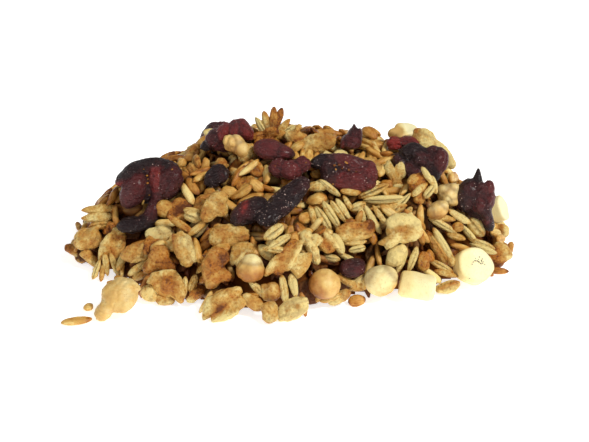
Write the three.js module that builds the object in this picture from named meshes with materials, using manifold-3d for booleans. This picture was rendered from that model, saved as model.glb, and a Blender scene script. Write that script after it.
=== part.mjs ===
// A heap of granola on a flat surface: toasted oats and flakes with dried berries, banana slices and nuts.
// Millimetres, +Z up, +X along the heap's long side, -Y towards its front. The heap rests on z = 0.

import * as THREE from 'three';
import { mergeVertices } from 'three/addons/utils/BufferGeometryUtils.js';
import Module from 'manifold-3d';

const wasm = await Module();
wasm.setup();

// ---------- driving dimensions ----------

const heapLength = 146;        // left to right at the base
const heapDepth = 102;         // front to back at the base
const heapHeight = 36;         // dome of the heap without the pieces that stand out of it
const outlinePower = 2.25;     // 2 is an ellipse, more is squarer
const domePower = 1.9;         // how flat the top is
const domeSlope = 0.85;        // how steep the sides are
const layerThickness = 1.7;    // the core lies this far under the heap's surface
const rimHeight = 1.0;         // the core's height at its edge
const gap = 0.35;              // kept round every topping
const underGround = 2;         // the core reaches this far below the ground before it is cut off there
const seamTolerance = 0.03;    // shorter edges, left where pieces join, are merged

// How the base outline departs from the smooth oval: where, how wide (degrees) and how far (mm).
const outlineLobes = [
  { at: -148, width: 14, push: -4.0 },
  { at: -127, width: 10, push: -3.5 },
  { at: -93, width: 10, push: 2.0 },
  { at: -75, width: 12, push: -3.0 },
  { at: -56, width: 16, push: -6.5 },
  { at: -30, width: 8, push: -2.0 },
  { at: 18, width: 14, push: -1.5 },
  { at: 60, width: 22, push: -3.0 },
  { at: 95, width: 18, push: 2.0 },
  { at: 150, width: 25, push: -4.0 },
];

// Hills on the dome: centre, half widths and rise.
const hills = [
  { x: -56, y: -8, wideX: 12, wideY: 10, rise: 9.0 },
  { x: -8, y: 0, wideX: 14, wideY: 9, rise: 2.5 },
  { x: 43, y: 3, wideX: 12, wideY: 12, rise: 8.5 },
  { x: 62, y: -9, wideX: 9, wideY: 9, rise: 7.0 },
];
const hillFade = 0.15;         // hills die out over this share of the radius, at the rim

// Dried berries: place on the heap, size, heading of the long side, lean towards the front and lift.
const berries = [
  { x: -44, y: -14, size: [23, 16, 10], heading: 12, lean: 18, lift: 3.0, fold: 0.42 },
  { x: -46.5, y: -20.8, size: [14, 12, 7], heading: -28, lean: 10, lift: 1.0, fold: 0.2 },
  { x: -19.8, y: -1.6, size: [19, 9, 7], heading: 18, lean: 0, lift: 2.6, fold: 0.2 },
  { x: -22.3, y: -15.8, size: [8, 8, 6], heading: 60, lean: 10, lift: 0.6, fold: 0.2 },
  { x: -5, y: -10.8, size: [13.5, 7, 6], heading: -14, lean: 6, lift: 1.8, fold: 0.1 },
  { x: 0.2, y: -17.8, size: [13.5, 7.5, 6.5], heading: -4, lean: 8, lift: 1.5, fold: 0.25 },
  { x: 16.4, y: -17.6, size: [21, 12.5, 7], heading: -9, lean: 22, lift: 2.2, fold: 0.35 },
  { x: -1.6, y: -28.8, size: [23, 9, 7], heading: 48, lean: 0, lift: 1.8, fold: 0.15 },
  { x: -11.5, y: -29.8, size: [14, 9, 6], heading: 22, lean: 0, lift: 0.8, fold: 0.2 },
  { x: 19.3, y: -1.4, size: [9, 7.5, 7.5], heading: 70, lean: 0, lift: 2.6, fold: 0.3 },
  { x: 40.6, y: -8, size: [19, 12, 8], heading: -12, lean: 16, lift: 2.2, fold: 0.2 },
  { x: 57.5, y: -14.8, size: [18, 13, 9], heading: -64, lean: 24, lift: 3.0, fold: 0.2, spike: 0.4 },
  { x: 18.6, y: -38.2, size: [8, 6.8, 6], heading: 0, lean: 0, lift: 0.8, fold: 0.1 },
  { x: 36.4, y: 1.2, size: [11, 6.6, 5.6], heading: 6, lean: 0, lift: -0.9, fold: 0.2 },
  { x: -24, y: 29, size: [17, 11, 7], heading: -24, lean: 0, lift: 1.2, fold: 0.3 },
  { x: 8, y: 37, size: [15, 9, 7], heading: 40, lean: 0, lift: 1.2, fold: 0.25 },
  { x: 36, y: 32, size: [13, 10, 6], heading: -35, lean: 0, lift: 1.0, fold: 0.2 },
  { x: -52, y: 22, size: [12, 9, 6], heading: 65, lean: 0, lift: 0.8, fold: 0.3 },
  { x: -10, y: 45, size: [12, 8, 6], heading: 5, lean: 0, lift: 1.0, fold: 0.2 },
];

// Dried banana slices: diameter, thickness, heading, the lean of the round face towards the front, and the pitch
// of the face along the heading, which at 90 lays a slice on its round side.
const bananaSlices = [
  { x: 56, y: -30.6, size: [12.2, 11, 5], heading: 6, lean: 0, pitch: -14, lift: 3.2 },
  { x: 38.2, y: -39.4, size: [8.2, 8.2, 11.6], heading: -6, lean: 0, pitch: 78, lift: 2.0 },
  { x: 68, y: -2, size: [9, 8.5, 4.5], heading: 20, lean: 40, lift: 3.9 },
  { x: 36.6, y: 6.6, size: [9, 7, 4], heading: 10, lean: 34, lift: 1.8 },
  { x: -36, y: 38, size: [13, 11.5, 5], heading: 170, lean: -12, lift: 0.6 },
  { x: 50, y: 28, size: [11, 10, 5], heading: 140, lean: -10, lift: 1.2 },
];

// Whole round nuts.
const nuts = [
  { x: 10.2, y: -43.8, size: [10, 9.6, 9.4], heading: 0, lean: 0, lift: 2.2 },
  { x: 27.2, y: -39.8, size: [10.6, 10, 9.8], heading: 30, lean: 0, lift: 2.6 },
  { x: -11.2, y: -43.8, size: [8.6, 8, 9.6], heading: 0, lean: 8, lift: 2.2 },
  { x: 49.4, y: -13.6, size: [8.2, 7.6, 7.4], heading: 20, lean: 0, lift: 1.6 },
  { x: 45.6, y: -19.6, size: [7, 6.6, 6.6], heading: 0, lean: 0, lift: 1.2 },
  { x: -16.6, y: -7.4, size: [9, 7.4, 6.8], heading: 15, lean: 0, lift: 2.0 },
  { x: -24, y: 42, size: [9.6, 9.2, 9], heading: 50, lean: 0, lift: 1.2 },
  { x: 24, y: 40, size: [10, 9.4, 9.2], heading: 10, lean: 0, lift: 1.6 },
];

// Broad flakes, chips and clusters that are part of the heap itself.
const broadPieces = [
  { shape: 'flake', x: -19.7, y: -47, size: [12, 10, 3.4], heading: 20, lean: 24, lift: 1.6 },
  { shape: 'flake', x: -53.5, y: -24.5, size: [14, 11, 3], heading: 35, lean: 20, lift: 0.8 },
  { shape: 'flake', x: -44.5, y: -29.5, size: [10, 8, 3], heading: -20, lean: 14, lift: 1.0 },
  { shape: 'cluster', x: -37, y: -39, size: [14, 8, 7], heading: -8, lean: 0, lift: 0.4 },
  { shape: 'cluster', x: -21, y: -40, size: [10, 12, 7], heading: 10, lean: 0, lift: 0.2 },
  { shape: 'flake', x: -17.2, y: -34.8, size: [13, 9, 3], heading: 12, lean: 12, lift: 0.8 },
  { shape: 'flake', x: -23.2, y: -25.6, size: [12, 11, 3], heading: 50, lean: 14, lift: 1.0 },
  { shape: 'cluster', x: -39, y: -33.5, size: [10, 9, 6], heading: 30, lean: 0, lift: 0.2 },
  { shape: 'flake', x: -31.5, y: -34, size: [12, 7, 4], heading: 80, lean: 10, lift: 1.2 },
  { shape: 'flake', x: -38.6, y: -27.6, size: [9.5, 6, 3.4], heading: -6, lean: 0, lift: 1.0 },
  { shape: 'flake', x: -6.2, y: -50.2, size: [8.5, 7.5, 3], heading: 80, lean: 20, lift: 0.9 },
  { shape: 'flake', x: 1.4, y: -49.2, size: [10, 7, 3], heading: 4, lean: 14, lift: 0.9 },
  { shape: 'cluster', x: -1.6, y: -41.2, size: [12, 10, 7], heading: 30, lean: 0, lift: 0.2 },
  { shape: 'flake', x: 20, y: -30.2, size: [14, 7, 3], heading: 8, lean: 12, lift: 0.8 },
  { shape: 'flake', x: 9.6, y: -36.4, size: [12, 9, 4], heading: -10, lean: 6, lift: 0.6 },
  { shape: 'flake', x: 8, y: -6, size: [13, 8, 3], heading: 20, lean: 14, lift: 1.6 },
  { shape: 'cluster', x: -5.6, y: 1, size: [8, 7, 9], heading: 0, lean: 0, lift: 2.2 },
  { shape: 'cluster', x: 34.5, y: -29, size: [12, 10, 7], heading: 20, lean: 0, lift: 1.0 },
  { shape: 'cluster', x: 39, y: -16.6, size: [8, 10, 6], heading: -30, lean: 0, lift: 0.6 },
  { shape: 'flake', x: 46.5, y: 4, size: [13, 9, 3], heading: -30, lean: 12, lift: 2.4 },
  { shape: 'flake', x: 66.6, y: -20.5, size: [9, 8, 3], heading: -60, lean: 14, lift: 0.6 },
  { shape: 'flake', x: -60.5, y: -10, size: [12, 8, 3], heading: 4, lean: 12, lift: 0.8 },
  { shape: 'cluster', x: -64, y: -16.5, size: [9, 9, 7], heading: 0, lean: 0, lift: 0.4 },
  { shape: 'flake', x: -33, y: -15, size: [11, 8, 3], heading: -30, lean: 0, lift: 0.8 },
  { shape: 'flake', x: 55.5, y: -21.5, size: [11, 8, 3], heading: -25, lean: 6, lift: 0.6 },
  { shape: 'cluster', x: -26, y: 8, size: [11, 9, 7], heading: 60, lean: 0, lift: 0.6 },
  { shape: 'flake', x: -48, y: 22, size: [12, 9, 3], heading: 150, lean: 0, lift: 0.8 },
  { shape: 'cluster', x: 4, y: 34, size: [12, 9, 7], heading: 20, lean: 0, lift: 0.4 },
  { shape: 'flake', x: 50, y: 33, size: [12, 8, 3], heading: 60, lean: 0, lift: 0.6 },
  { shape: 'flake', x: 26, y: 14, size: [12, 9, 3], heading: 110, lean: 0, lift: 0.8 },
];

// Everyday pieces that cover the rest of the heap, spread evenly.
const spreadCount = 166;
const flakeShareLeft = 0.5;    // share of flakes among them on the left half
const flakeShareRight = 0.34;  // and on the right half
const grainSize = { length: [8, 11], width: [2.8, 3.4], thickness: [2.3, 2.8] };
const flakeSize = { length: [7.5, 10.5], width: [5.5, 8], thickness: [2.0, 2.6] };
const spreadTilt = 22;         // degrees either way out of the heap's surface
const spreadLift = [-1.1, -0.4];
const spreadInset = 1.5;       // the outermost ones' centres lie this far inside the outline
const clearTries = [0, 2.2, 4.4]; // how far a piece moves aside from a topping before it is skipped

// Pieces that lie on the surface just beside the heap.
const paleLump = { x: -49, y: -46, size: [11.6, 11, 10.6], heading: 40 };
const paleLumpSide = { x: -53.6, y: -50, size: [6.4, 5.8, 5.2], heading: 0 };
const looseOat = { x: -61.6, y: -52.5, size: [9, 3.1, 2.3], heading: 12 };
const looseCrumb = { x: -59.4, y: -45.2, size: [3.6, 3.0, 2.4], heading: 40 };

// ---------- seeded chance ----------

// A linear congruential generator: the same draws in every run.
function seededRandom(seed) {
  const modulus = 2 ** 32;
  const multiplier = 1664525;
  const increment = 1013904223;
  let state = seed;
  return () => {
    state = (state * multiplier + increment) % modulus;
    return state / modulus;
  };
}

const random = seededRandom(20);
const between = ([low, high]) => low + (high - low) * random();
const turned = (degrees) => THREE.MathUtils.degToRad(degrees);
const axisX = new THREE.Vector3(1, 0, 0);
const axisY = new THREE.Vector3(0, 1, 0);
const axisZ = new THREE.Vector3(0, 0, 1);
const fullSize = new THREE.Vector3(1, 1, 1);

// ---------- the heap's form ----------

function outlineRadius(angle) {
  const across = Math.abs(Math.cos(angle) / (heapLength / 2)) ** outlinePower;
  const along = Math.abs(Math.sin(angle) / (heapDepth / 2)) ** outlinePower;
  let radius = (across + along) ** (-1 / outlinePower);
  const degrees = THREE.MathUtils.radToDeg(angle);
  for (const lobe of outlineLobes) {
    const away = THREE.MathUtils.euclideanModulo(degrees - lobe.at + 180, 360) - 180;
    radius += lobe.push * Math.exp(-((away / lobe.width) ** 2));
  }
  return radius;
}

function heapSurface(x, y) {
  const share = Math.min(Math.hypot(x, y) / outlineRadius(Math.atan2(y, x)), 1);
  const fade = Math.min((1 - share) / hillFade, 1);
  let height = heapHeight * (1 - share ** domePower) ** domeSlope;
  for (const hill of hills) {
    const away = ((x - hill.x) / hill.wideX) ** 2 + ((y - hill.y) / hill.wideY) ** 2;
    height += hill.rise * fade * Math.exp(-away);
  }
  return height;
}

function surfaceNormal(x, y) {
  const step = 3; // about a grain's width, so that small bumps don't tip a piece
  const slopeX = (heapSurface(x + step, y) - heapSurface(x - step, y)) / (2 * step);
  const slopeY = (heapSurface(x, y + step) - heapSurface(x, y - step)) / (2 * step);
  return new THREE.Vector3(-slopeX, -slopeY, 1).normalize();
}

// ---------- closed shapes, each about its own centre ----------

function reshape(geometry, move) {
  const positions = geometry.getAttribute('position');
  const point = new THREE.Vector3();
  for (let i = 0; i < positions.count; i++) {
    point.fromBufferAttribute(positions, i);
    move(point);
    positions.setXYZ(i, point.x, point.y, point.z);
  }
  return geometry;
}

// A slow wave over all directions, different for each seed.
function lumps(direction, seed, pace) {
  const a = Math.sin(pace * direction.x + seed * 1.7 + 2.1 * direction.y);
  const b = Math.sin(pace * direction.y - seed * 2.3 + 1.7 * direction.z);
  const c = Math.sin(pace * direction.z + seed * 3.1 - 1.9 * direction.x);
  return (a + b + c) / 3;
}

// A lump that nuts, berries and clusters share. Berries have a fold along the top too, and one has a horn.
function roundedLump(size, seed, { detail = 1, depth = 0.1, pace = 3, fold = 0, spike = 0 }) {
  const foldWidth = 0.3;
  const spikeWidth = 0.35;
  const spikeAt = new THREE.Vector3(-0.75, 0.45, 0.5).normalize();
  return reshape(new THREE.IcosahedronGeometry(1, detail), (point) => {
    const across = point.y + 0.25 * Math.sin(2.5 * point.x + seed);
    const groove = fold * Math.exp(-((across / foldWidth) ** 2)) * Math.max(point.z, 0);
    const horn = spike * Math.exp(-((point.distanceTo(spikeAt) / spikeWidth) ** 2));
    point.multiplyScalar(1 + depth * lumps(point, seed, pace) - groove + horn);
    point.multiply(new THREE.Vector3(size[0] / 2, size[1] / 2, size[2] / 2));
  });
}

// A grain is a six-sided spindle. Its two rings lie 60 degrees from its pointed ends.
function oatGrain(size) {
  const geometry = new THREE.SphereGeometry(1, 6, 3);
  const ringRadius = Math.sin(Math.PI / 3);
  geometry.rotateZ(Math.PI / 2);
  geometry.scale(size[0] / 2, size[1] / 2 / ringRadius, size[2] / 2 / ringRadius);
  return geometry;
}

// A flake is a seven-sided disc with an uneven edge, bent up at both ends.
function flake(size, seed) {
  const curl = size[2] * 0.5;
  const edgeDepth = 0.14;
  const geometry = new THREE.SphereGeometry(1, 7, 3);
  geometry.rotateX(Math.PI / 2);
  return reshape(geometry, (point) => {
    const edge = 1 + edgeDepth * Math.sin(3 * Math.atan2(point.y, point.x) + seed);
    const bend = curl * (point.x * point.x - 0.4 * point.y);
    const x = (point.x * edge * size[0]) / 2;
    const y = (point.y * edge * size[1]) / 2;
    point.set(x, y, (point.z * size[2]) / 2 + bend);
  });
}

// A slice is a drum with bevelled edges, five shallow flutes and a top face that dips in the middle.
function bananaSlice(size, seed) {
  const sides = 10;
  const bevel = 0.16;
  const dip = 0.08;
  const fluteDepth = 0.05;
  const profile = [
    new THREE.Vector2(0, -0.5),
    new THREE.Vector2(1 - bevel, -0.5),
    new THREE.Vector2(1, bevel - 0.5),
    new THREE.Vector2(1, 0.5 - bevel),
    new THREE.Vector2(1 - bevel, 0.5),
    new THREE.Vector2(0, 0.5 - dip),
  ];
  const geometry = new THREE.LatheGeometry(profile, sides);
  geometry.rotateX(Math.PI / 2);
  return reshape(geometry, (point) => {
    const flute = 1 + fluteDepth * Math.sin(5 * Math.atan2(point.y, point.x) + seed);
    point.set((point.x * flute * size[0]) / 2, (point.y * flute * size[1]) / 2, point.z * size[2]);
  });
}

// The core's rings run from the middle of its flat base, out to the rim and up over the dome.
// With a margin the same surface is moved up and outwards.
function coreGeometry(margin = 0) {
  const sides = 36;
  const shares = [1, 0.94, 0.86, 0.76, 0.65, 0.53, 0.4, 0.26, 0.12, 0];
  const base = [new THREE.Vector2(0, 0), new THREE.Vector2(1, 0)];
  const dome = shares.map((share) => new THREE.Vector2(share, 1));
  const geometry = new THREE.LatheGeometry([...base, ...dome], sides);
  geometry.rotateX(Math.PI / 2);
  return reshape(geometry, (point) => {
    const onBase = point.z < 0.5;
    const radius = outlineRadius(Math.atan2(point.y, point.x)) - layerThickness / 2;
    const x = point.x * radius;
    const y = point.y * radius;
    const top = Math.max(heapSurface(x, y) - layerThickness, rimHeight);
    const outward = 1 + margin / radius;
    point.set(x * outward, y * outward, onBase ? -underGround : top + margin);
  });
}

// ---------- solids ----------

function toSolid(geometry, matrix = new THREE.Matrix4()) {
  const plain = geometry.clone().applyMatrix4(matrix);
  plain.deleteAttribute('normal');
  plain.deleteAttribute('uv');
  const merged = mergeVertices(plain);
  const triVerts = new Uint32Array(merged.index.array);
  const vertProperties = new Float32Array(merged.getAttribute('position').array);
  const solid = new wasm.Manifold(new wasm.Mesh({ numProp: 3, vertProperties, triVerts }));
  if (solid.volume() > 0) {
    return solid;
  }
  // A turned lathe can face inwards, and then each triangle is turned over.
  const flipped = new Uint32Array(triVerts).reverse();
  return new wasm.Manifold(new wasm.Mesh({ numProp: 3, vertProperties, triVerts: flipped }));
}

function toGeometry(solid) {
  const mesh = solid.simplify(seamTolerance).getMesh();
  const geometry = new THREE.BufferGeometry();
  geometry.setAttribute('position', new THREE.BufferAttribute(mesh.vertProperties, 3));
  geometry.setIndex(new THREE.BufferAttribute(mesh.triVerts, 1));
  geometry.computeVertexNormals();
  return geometry;
}

function aboveGround(solid) {
  return solid.trimByPlane([0, 0, 1], 0);
}

// The largest of a solid's bodies, which leaves out loose scraps and fills sealed hollows.
function largestBody(solid) {
  const bodies = solid.decompose();
  return bodies.reduce((best, body) => (body.volume() > best.volume() ? body : best));
}

// Lays a piece on the heap: its flat side follows the slope, turned by heading, then leant to the front.
function layMatrix({ x, y, heading, lean = 0, lift = 0, pitch = 0 }) {
  const follow = new THREE.Quaternion().setFromUnitVectors(axisZ, surfaceNormal(x, y));
  const front = new THREE.Quaternion().setFromAxisAngle(axisX, turned(lean));
  const turn = new THREE.Quaternion().setFromAxisAngle(axisZ, turned(heading));
  const nod = new THREE.Quaternion().setFromAxisAngle(axisY, turned(pitch));
  const rotation = front.multiply(follow).multiply(turn).multiply(nod);
  const place = new THREE.Vector3(x, y, heapSurface(x, y) + lift);
  return new THREE.Matrix4().compose(place, rotation, fullSize);
}

// Lays a piece flat beside the heap, its centre at the given height.
function groundMatrix({ x, y, heading }, height) {
  const turn = new THREE.Quaternion().setFromAxisAngle(axisZ, turned(heading));
  return new THREE.Matrix4().compose(new THREE.Vector3(x, y, height), turn, fullSize);
}

function grown(size) {
  return size.map((side) => side + 2 * gap);
}

const slopeAllowance = 1.5; // the gap is measured straight up and out, so on a slope it needs more
const core = toSolid(coreGeometry());
const coreWithGap = toSolid(coreGeometry(slopeAllowance * gap));

// A topping, cut to sit on the core, and its grown twin, which its neighbours stay clear of.
function makeTopping(name, look, shape, item) {
  const matrix = layMatrix(item);
  const solid = aboveGround(toSolid(shape(item.size), matrix)).subtract(coreWithGap);
  const room = toSolid(shape(grown(item.size)), matrix);
  return { name, look, solid, room };
}

// Where two toppings would cross, the later one is cut back.
function clearOfEachOther(toppings) {
  toppings.forEach((topping, i) => {
    for (const earlier of toppings.slice(0, i)) {
      topping.solid = topping.solid.subtract(earlier.room);
    }
    topping.solid = largestBody(topping.solid);
  });
}

// ---------- toppings ----------

const bigBerry = 17; // a berry longer than this gets finer faces
const toppings = [];

bananaSlices.forEach((item, i) => {
  toppings.push(makeTopping(`banana_slice_${i + 1}`, 'banana', (size) => bananaSlice(size, i), item));
});
nuts.forEach((item, i) => {
  const shape = (size) => roundedLump(size, i, { detail: 1, depth: 0.04 });
  toppings.push(makeTopping(`nut_${i + 1}`, 'nut', shape, item));
});
berries.forEach((item, i) => {
  const detail = item.size[0] > bigBerry ? 2 : 1;
  const form = { detail, depth: 0.11, pace: 3.4, fold: item.fold, spike: item.spike ?? 0 };
  const shape = (size) => roundedLump(size, i + 1, form);
  toppings.push(makeTopping(`dried_berry_${i + 1}`, 'berry', shape, item));
});
clearOfEachOther(toppings);

// ---------- pieces beside the heap ----------

// A solid that stands on its lowest point.
function groundSolid(shape, item) {
  const low = toSolid(shape(item.size), groundMatrix(item, 0));
  const rise = -low.boundingBox().min[2];
  return toSolid(shape(item.size), groundMatrix(item, rise));
}

function paleLumpSolid(resize = (size) => size) {
  const mainShape = (size) => roundedLump(resize(size), 4, { depth: 0.1 });
  const sideShape = (size) => roundedLump(resize(size), 7, { depth: 0.06 });
  return groundSolid(mainShape, paleLump).add(groundSolid(sideShape, paleLumpSide));
}

const crumbShape = (size) => roundedLump(size, 2, { detail: 0 });
const nutLump = { name: 'nut_lump', look: 'nut', solid: paleLumpSolid(), room: paleLumpSolid(grown) };
const looseGrain = { name: 'loose_oat', look: 'oat', solid: groundSolid(oatGrain, looseOat) };
const crumb = { name: 'loose_crumb', look: 'oat', solid: groundSolid(crumbShape, looseCrumb) };
const besideHeap = [nutLump, looseGrain, crumb];

// ---------- the heap ----------

const rooms = [...toppings, nutLump].map((topping) => topping.room);
const roomBoxes = rooms.map((room) => room.boundingBox());

function meets(boxA, boxB) {
  return [0, 1, 2].every((k) => boxA.min[k] <= boxB.max[k] && boxB.min[k] <= boxA.max[k]);
}

function crossesTopping(solid) {
  const box = solid.boundingBox();
  return rooms.some((room, i) => meets(box, roomBoxes[i]) && !solid.intersect(room).isEmpty());
}

// A piece that would cross a topping moves outwards along its heading, or is skipped.
function fusedPiece(geometry, item) {
  for (const move of clearTries) {
    const x = item.x + move * Math.cos(turned(item.heading));
    const y = item.y + move * Math.sin(turned(item.heading));
    const solid = toSolid(geometry, layMatrix({ ...item, x, y }));
    if (!crossesTopping(solid)) {
      return solid;
    }
  }
  return null;
}

function broadPiece(item, i) {
  if (item.shape === 'flake') {
    return fusedPiece(flake(item.size, i), item);
  }
  return fusedPiece(roundedLump(item.size, i, { depth: 0.2, pace: 4 }), item);
}

// Golden-angle spacing puts the same number of pieces on every part of the heap.
function spreadPiece(i) {
  const goldenAngle = Math.PI * (3 - Math.sqrt(5));
  const angle = i * goldenAngle;
  const radius = Math.sqrt((i + 0.5) / spreadCount) * (outlineRadius(angle) - spreadInset);
  const x = radius * Math.cos(angle);
  const y = radius * Math.sin(angle);
  const isFlake = random() < (x < 0 ? flakeShareLeft : flakeShareRight);
  const range = isFlake ? flakeSize : grainSize;
  const size = [between(range.length), between(range.width), between(range.thickness)];
  const heading = 360 * random();
  const lean = between([-spreadTilt, spreadTilt]) / 2;
  const pitch = between([-spreadTilt, spreadTilt]);
  const lift = between(spreadLift);
  const geometry = isFlake ? flake(size, i) : oatGrain(size);
  return fusedPiece(geometry, { x, y, heading, lean, pitch, lift });
}

function heapSolid() {
  const broad = broadPieces.map(broadPiece);
  const spread = Array.from({ length: spreadCount }, (_, i) => spreadPiece(i));
  const pieces = [...broad, ...spread].filter((piece) => piece !== null);
  return largestBody(aboveGround(wasm.Manifold.union([core, ...pieces])));
}

// ---------- the scene graph ----------

const looks = {
  oat: { color: 0xc89a58, roughness: 0.75, metalness: 0 },
  berry: { color: 0x4a1f1f, roughness: 0.4, metalness: 0 },
  banana: { color: 0xf3e6b4, roughness: 0.7, metalness: 0 },
  nut: { color: 0xe2bd78, roughness: 0.6, metalness: 0 },
};

function namedMesh(name, look, solid) {
  const mesh = new THREE.Mesh(toGeometry(solid), new THREE.MeshStandardMaterial(looks[look]));
  mesh.name = name;
  return mesh;
}

const granola = new THREE.Group();
granola.add(namedMesh('granola_heap', 'oat', heapSolid()));
for (const { name, look, solid } of [...toppings, ...besideHeap]) {
  granola.add(namedMesh(name, look, solid));
}

// The middle of the whole part's box goes to x = y = 0.
const box = new THREE.Box3().setFromObject(granola);
const middle = box.getCenter(new THREE.Vector3());
granola.position.set(-middle.x, -middle.y, 0);

export default granola;
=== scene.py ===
# A loose heap of granola: oat grains and flakes laid one on another over a dark core,
# with dried berries, banana slices and round nuts in the places that the frame gives them.
import math
import random

import bmesh
import bpy
import numpy as np
from mathutils import Euler, Matrix, Vector, noise
from mathutils.bvhtree import BVHTree


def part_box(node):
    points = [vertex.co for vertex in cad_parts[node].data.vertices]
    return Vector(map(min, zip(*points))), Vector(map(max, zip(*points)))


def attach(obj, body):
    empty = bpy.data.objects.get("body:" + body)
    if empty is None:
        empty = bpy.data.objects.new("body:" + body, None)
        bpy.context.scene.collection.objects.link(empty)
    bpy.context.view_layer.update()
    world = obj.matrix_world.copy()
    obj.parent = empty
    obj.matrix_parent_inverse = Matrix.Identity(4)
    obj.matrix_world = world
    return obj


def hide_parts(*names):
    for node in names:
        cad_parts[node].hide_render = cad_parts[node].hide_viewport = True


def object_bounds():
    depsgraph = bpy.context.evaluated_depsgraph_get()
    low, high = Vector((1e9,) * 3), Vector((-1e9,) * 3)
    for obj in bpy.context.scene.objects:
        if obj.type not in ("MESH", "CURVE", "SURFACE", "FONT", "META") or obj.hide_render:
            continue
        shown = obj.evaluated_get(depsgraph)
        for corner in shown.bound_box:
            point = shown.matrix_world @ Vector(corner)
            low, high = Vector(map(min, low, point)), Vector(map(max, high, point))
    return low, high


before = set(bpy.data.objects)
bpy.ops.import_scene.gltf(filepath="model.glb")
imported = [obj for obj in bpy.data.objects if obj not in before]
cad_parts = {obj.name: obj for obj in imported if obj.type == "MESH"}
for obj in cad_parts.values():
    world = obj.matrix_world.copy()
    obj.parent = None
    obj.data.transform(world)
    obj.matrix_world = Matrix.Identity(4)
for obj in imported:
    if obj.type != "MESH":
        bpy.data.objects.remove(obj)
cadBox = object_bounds()
mm = 0.001  # shapes are worked out in millimetres and stored in metres

# The loose oat lies this far from the middle of the heap, which gives the heap's own middle in the frame.
looseOatAt = (-61.6, -52.5)
oatLow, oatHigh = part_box("loose_oat")
oatX, oatY = ((low + high) / 2 / mm for low, high in zip(oatLow.xy, oatHigh.xy))
heapMiddle = Vector((oatX - looseOatAt[0], oatY - looseOatAt[1]))


# Shader maths.
class Signal:
    def __init__(self, tree, socket=None):
        self.tree = tree
        self.socket = socket

    def node(self, kind, settings, inputs, output=0):
        made = self.tree.nodes.new(kind)
        for name, setting in settings.items():
            if name == "stops":
                fillRamp(made.color_ramp, setting)
            else:
                setattr(made, name, setting)
        for name, given in inputs.items():
            if isinstance(given, Signal):
                self.tree.links.new(given.socket, made.inputs[name])
            else:
                made.inputs[name].default_value = given
        return Signal(self.tree, made.outputs[output])

    def maths(self, operation, *terms):
        settings = {"operation": operation, "use_clamp": False}
        return self.node("ShaderNodeMath", settings, dict(enumerate(terms)))

    def __add__(self, other):
        return self.maths("ADD", self, other)

    def __sub__(self, other):
        return self.maths("SUBTRACT", self, other)

    def __rsub__(self, other):
        return self.maths("SUBTRACT", other, self)

    def __mul__(self, other):
        return self.maths("MULTIPLY", self, other)

    __radd__ = __add__
    __rmul__ = __mul__

    def between(self, low, high):  # 0 below low, 1 above high, smooth in between
        settings = {"interpolation_type": "SMOOTHSTEP"}
        return self.node("ShaderNodeMapRange", settings, {0: self, 1: low, 2: high, 3: 0.0, 4: 1.0})

    def tint(self, first, second):  # a colour mixed from two, by this number
        settings = {"data_type": "RGBA", "clamp_factor": True}
        return self.node("ShaderNodeMix", settings, {0: self, 6: first, 7: second}, 2)

    def ramp(self, stops):
        return self.node("ShaderNodeValToRGB", {"stops": stops}, {0: self})

    def scaled(self, x, y, z):  # a vector stretched along its axes
        return self.node("ShaderNodeVectorMath", {"operation": "MULTIPLY"}, {0: self, 1: (x, y, z)})

    def noise(self, scale, detail=2.0, roughness=0.5):
        inputs = {"Vector": self, "Scale": scale, "Detail": detail, "Roughness": roughness}
        return self.node("ShaderNodeTexNoise", {}, inputs)

    def cells(self, scale):  # distance to the nearest of many scattered points
        return self.node("ShaderNodeTexVoronoi", {"feature": "F1"}, {"Vector": self, "Scale": scale})

    def bump(self, strength, distance):
        inputs = {"Strength": strength, "Distance": distance, "Height": self}
        return self.node("ShaderNodeBump", {}, inputs)


def fillRamp(ramp, stops):
    while len(ramp.elements) < len(stops):
        ramp.elements.new(1.0)
    for element, (position, colour) in zip(ramp.elements, stops):
        element.position = position
        element.color = colour


def paint(red, green, blue):  # a screen colour of 0 to 255, as the shader's linear one
    def linear(part):
        part = part / 255
        return part / 12.92 if part <= 0.04045 else ((part + 0.055) / 1.055) ** 2.4
    return (linear(red), linear(green), linear(blue), 1.0)


def newMaterial(name):
    material = bpy.data.materials.new(name)
    material.use_nodes = True
    tree = material.node_tree
    shader = tree.nodes["Principled BSDF"]
    return material, tree, shader


def finishShader(tree, shader, wired, fixed):
    for name, signal in wired.items():
        tree.links.new(signal.socket, shader.inputs[name])
    for name, number in fixed.items():
        shader.inputs[name].default_value = number


def attribute(tree, name, output):  # output 1 is its vector, 2 its number
    return Signal(tree).node("ShaderNodeAttribute", {"attribute_name": name}, {}, output)


# The camera stands where the photo was taken from, in mm from the middle of the heap.
cameraView = {
    "place": (1.5, -317.86, 174.81),
    "tilt": 62.0,              # degrees up from straight down
    "lens": 66.7,
    "sensor": 36.0,
    "photoSize": (589, 442),   # pixels
}
frontTilt = np.array(Matrix.Rotation(math.radians(cameraView["tilt"]), 3, "X"))

# The heap's form, read from the frame.
heapForm = {
    "cell": 0.5,         # mm between the heights that are kept
    "margin": 6,         # mm kept free on every side of the heap
    "softening": 2.0,    # mm over which the solid's bumps are evened out
    "coreDepth": 5.0,    # mm from the heap's surface down to the core
    "coreBumps": 0.9,    # mm
}
heapLow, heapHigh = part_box("granola_heap")
cell = heapForm["cell"]
columns = np.arange(heapLow.x / mm - heapForm["margin"], heapHigh.x / mm + heapForm["margin"], cell)
rows = np.arange(heapLow.y / mm - heapForm["margin"], heapHigh.y / mm + heapForm["margin"], cell)


def treeOf(piece):
    bm = bmesh.new()
    bm.from_mesh(piece.data)
    tree = BVHTree.FromBMesh(bm)
    bm.free()
    return tree


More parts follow.
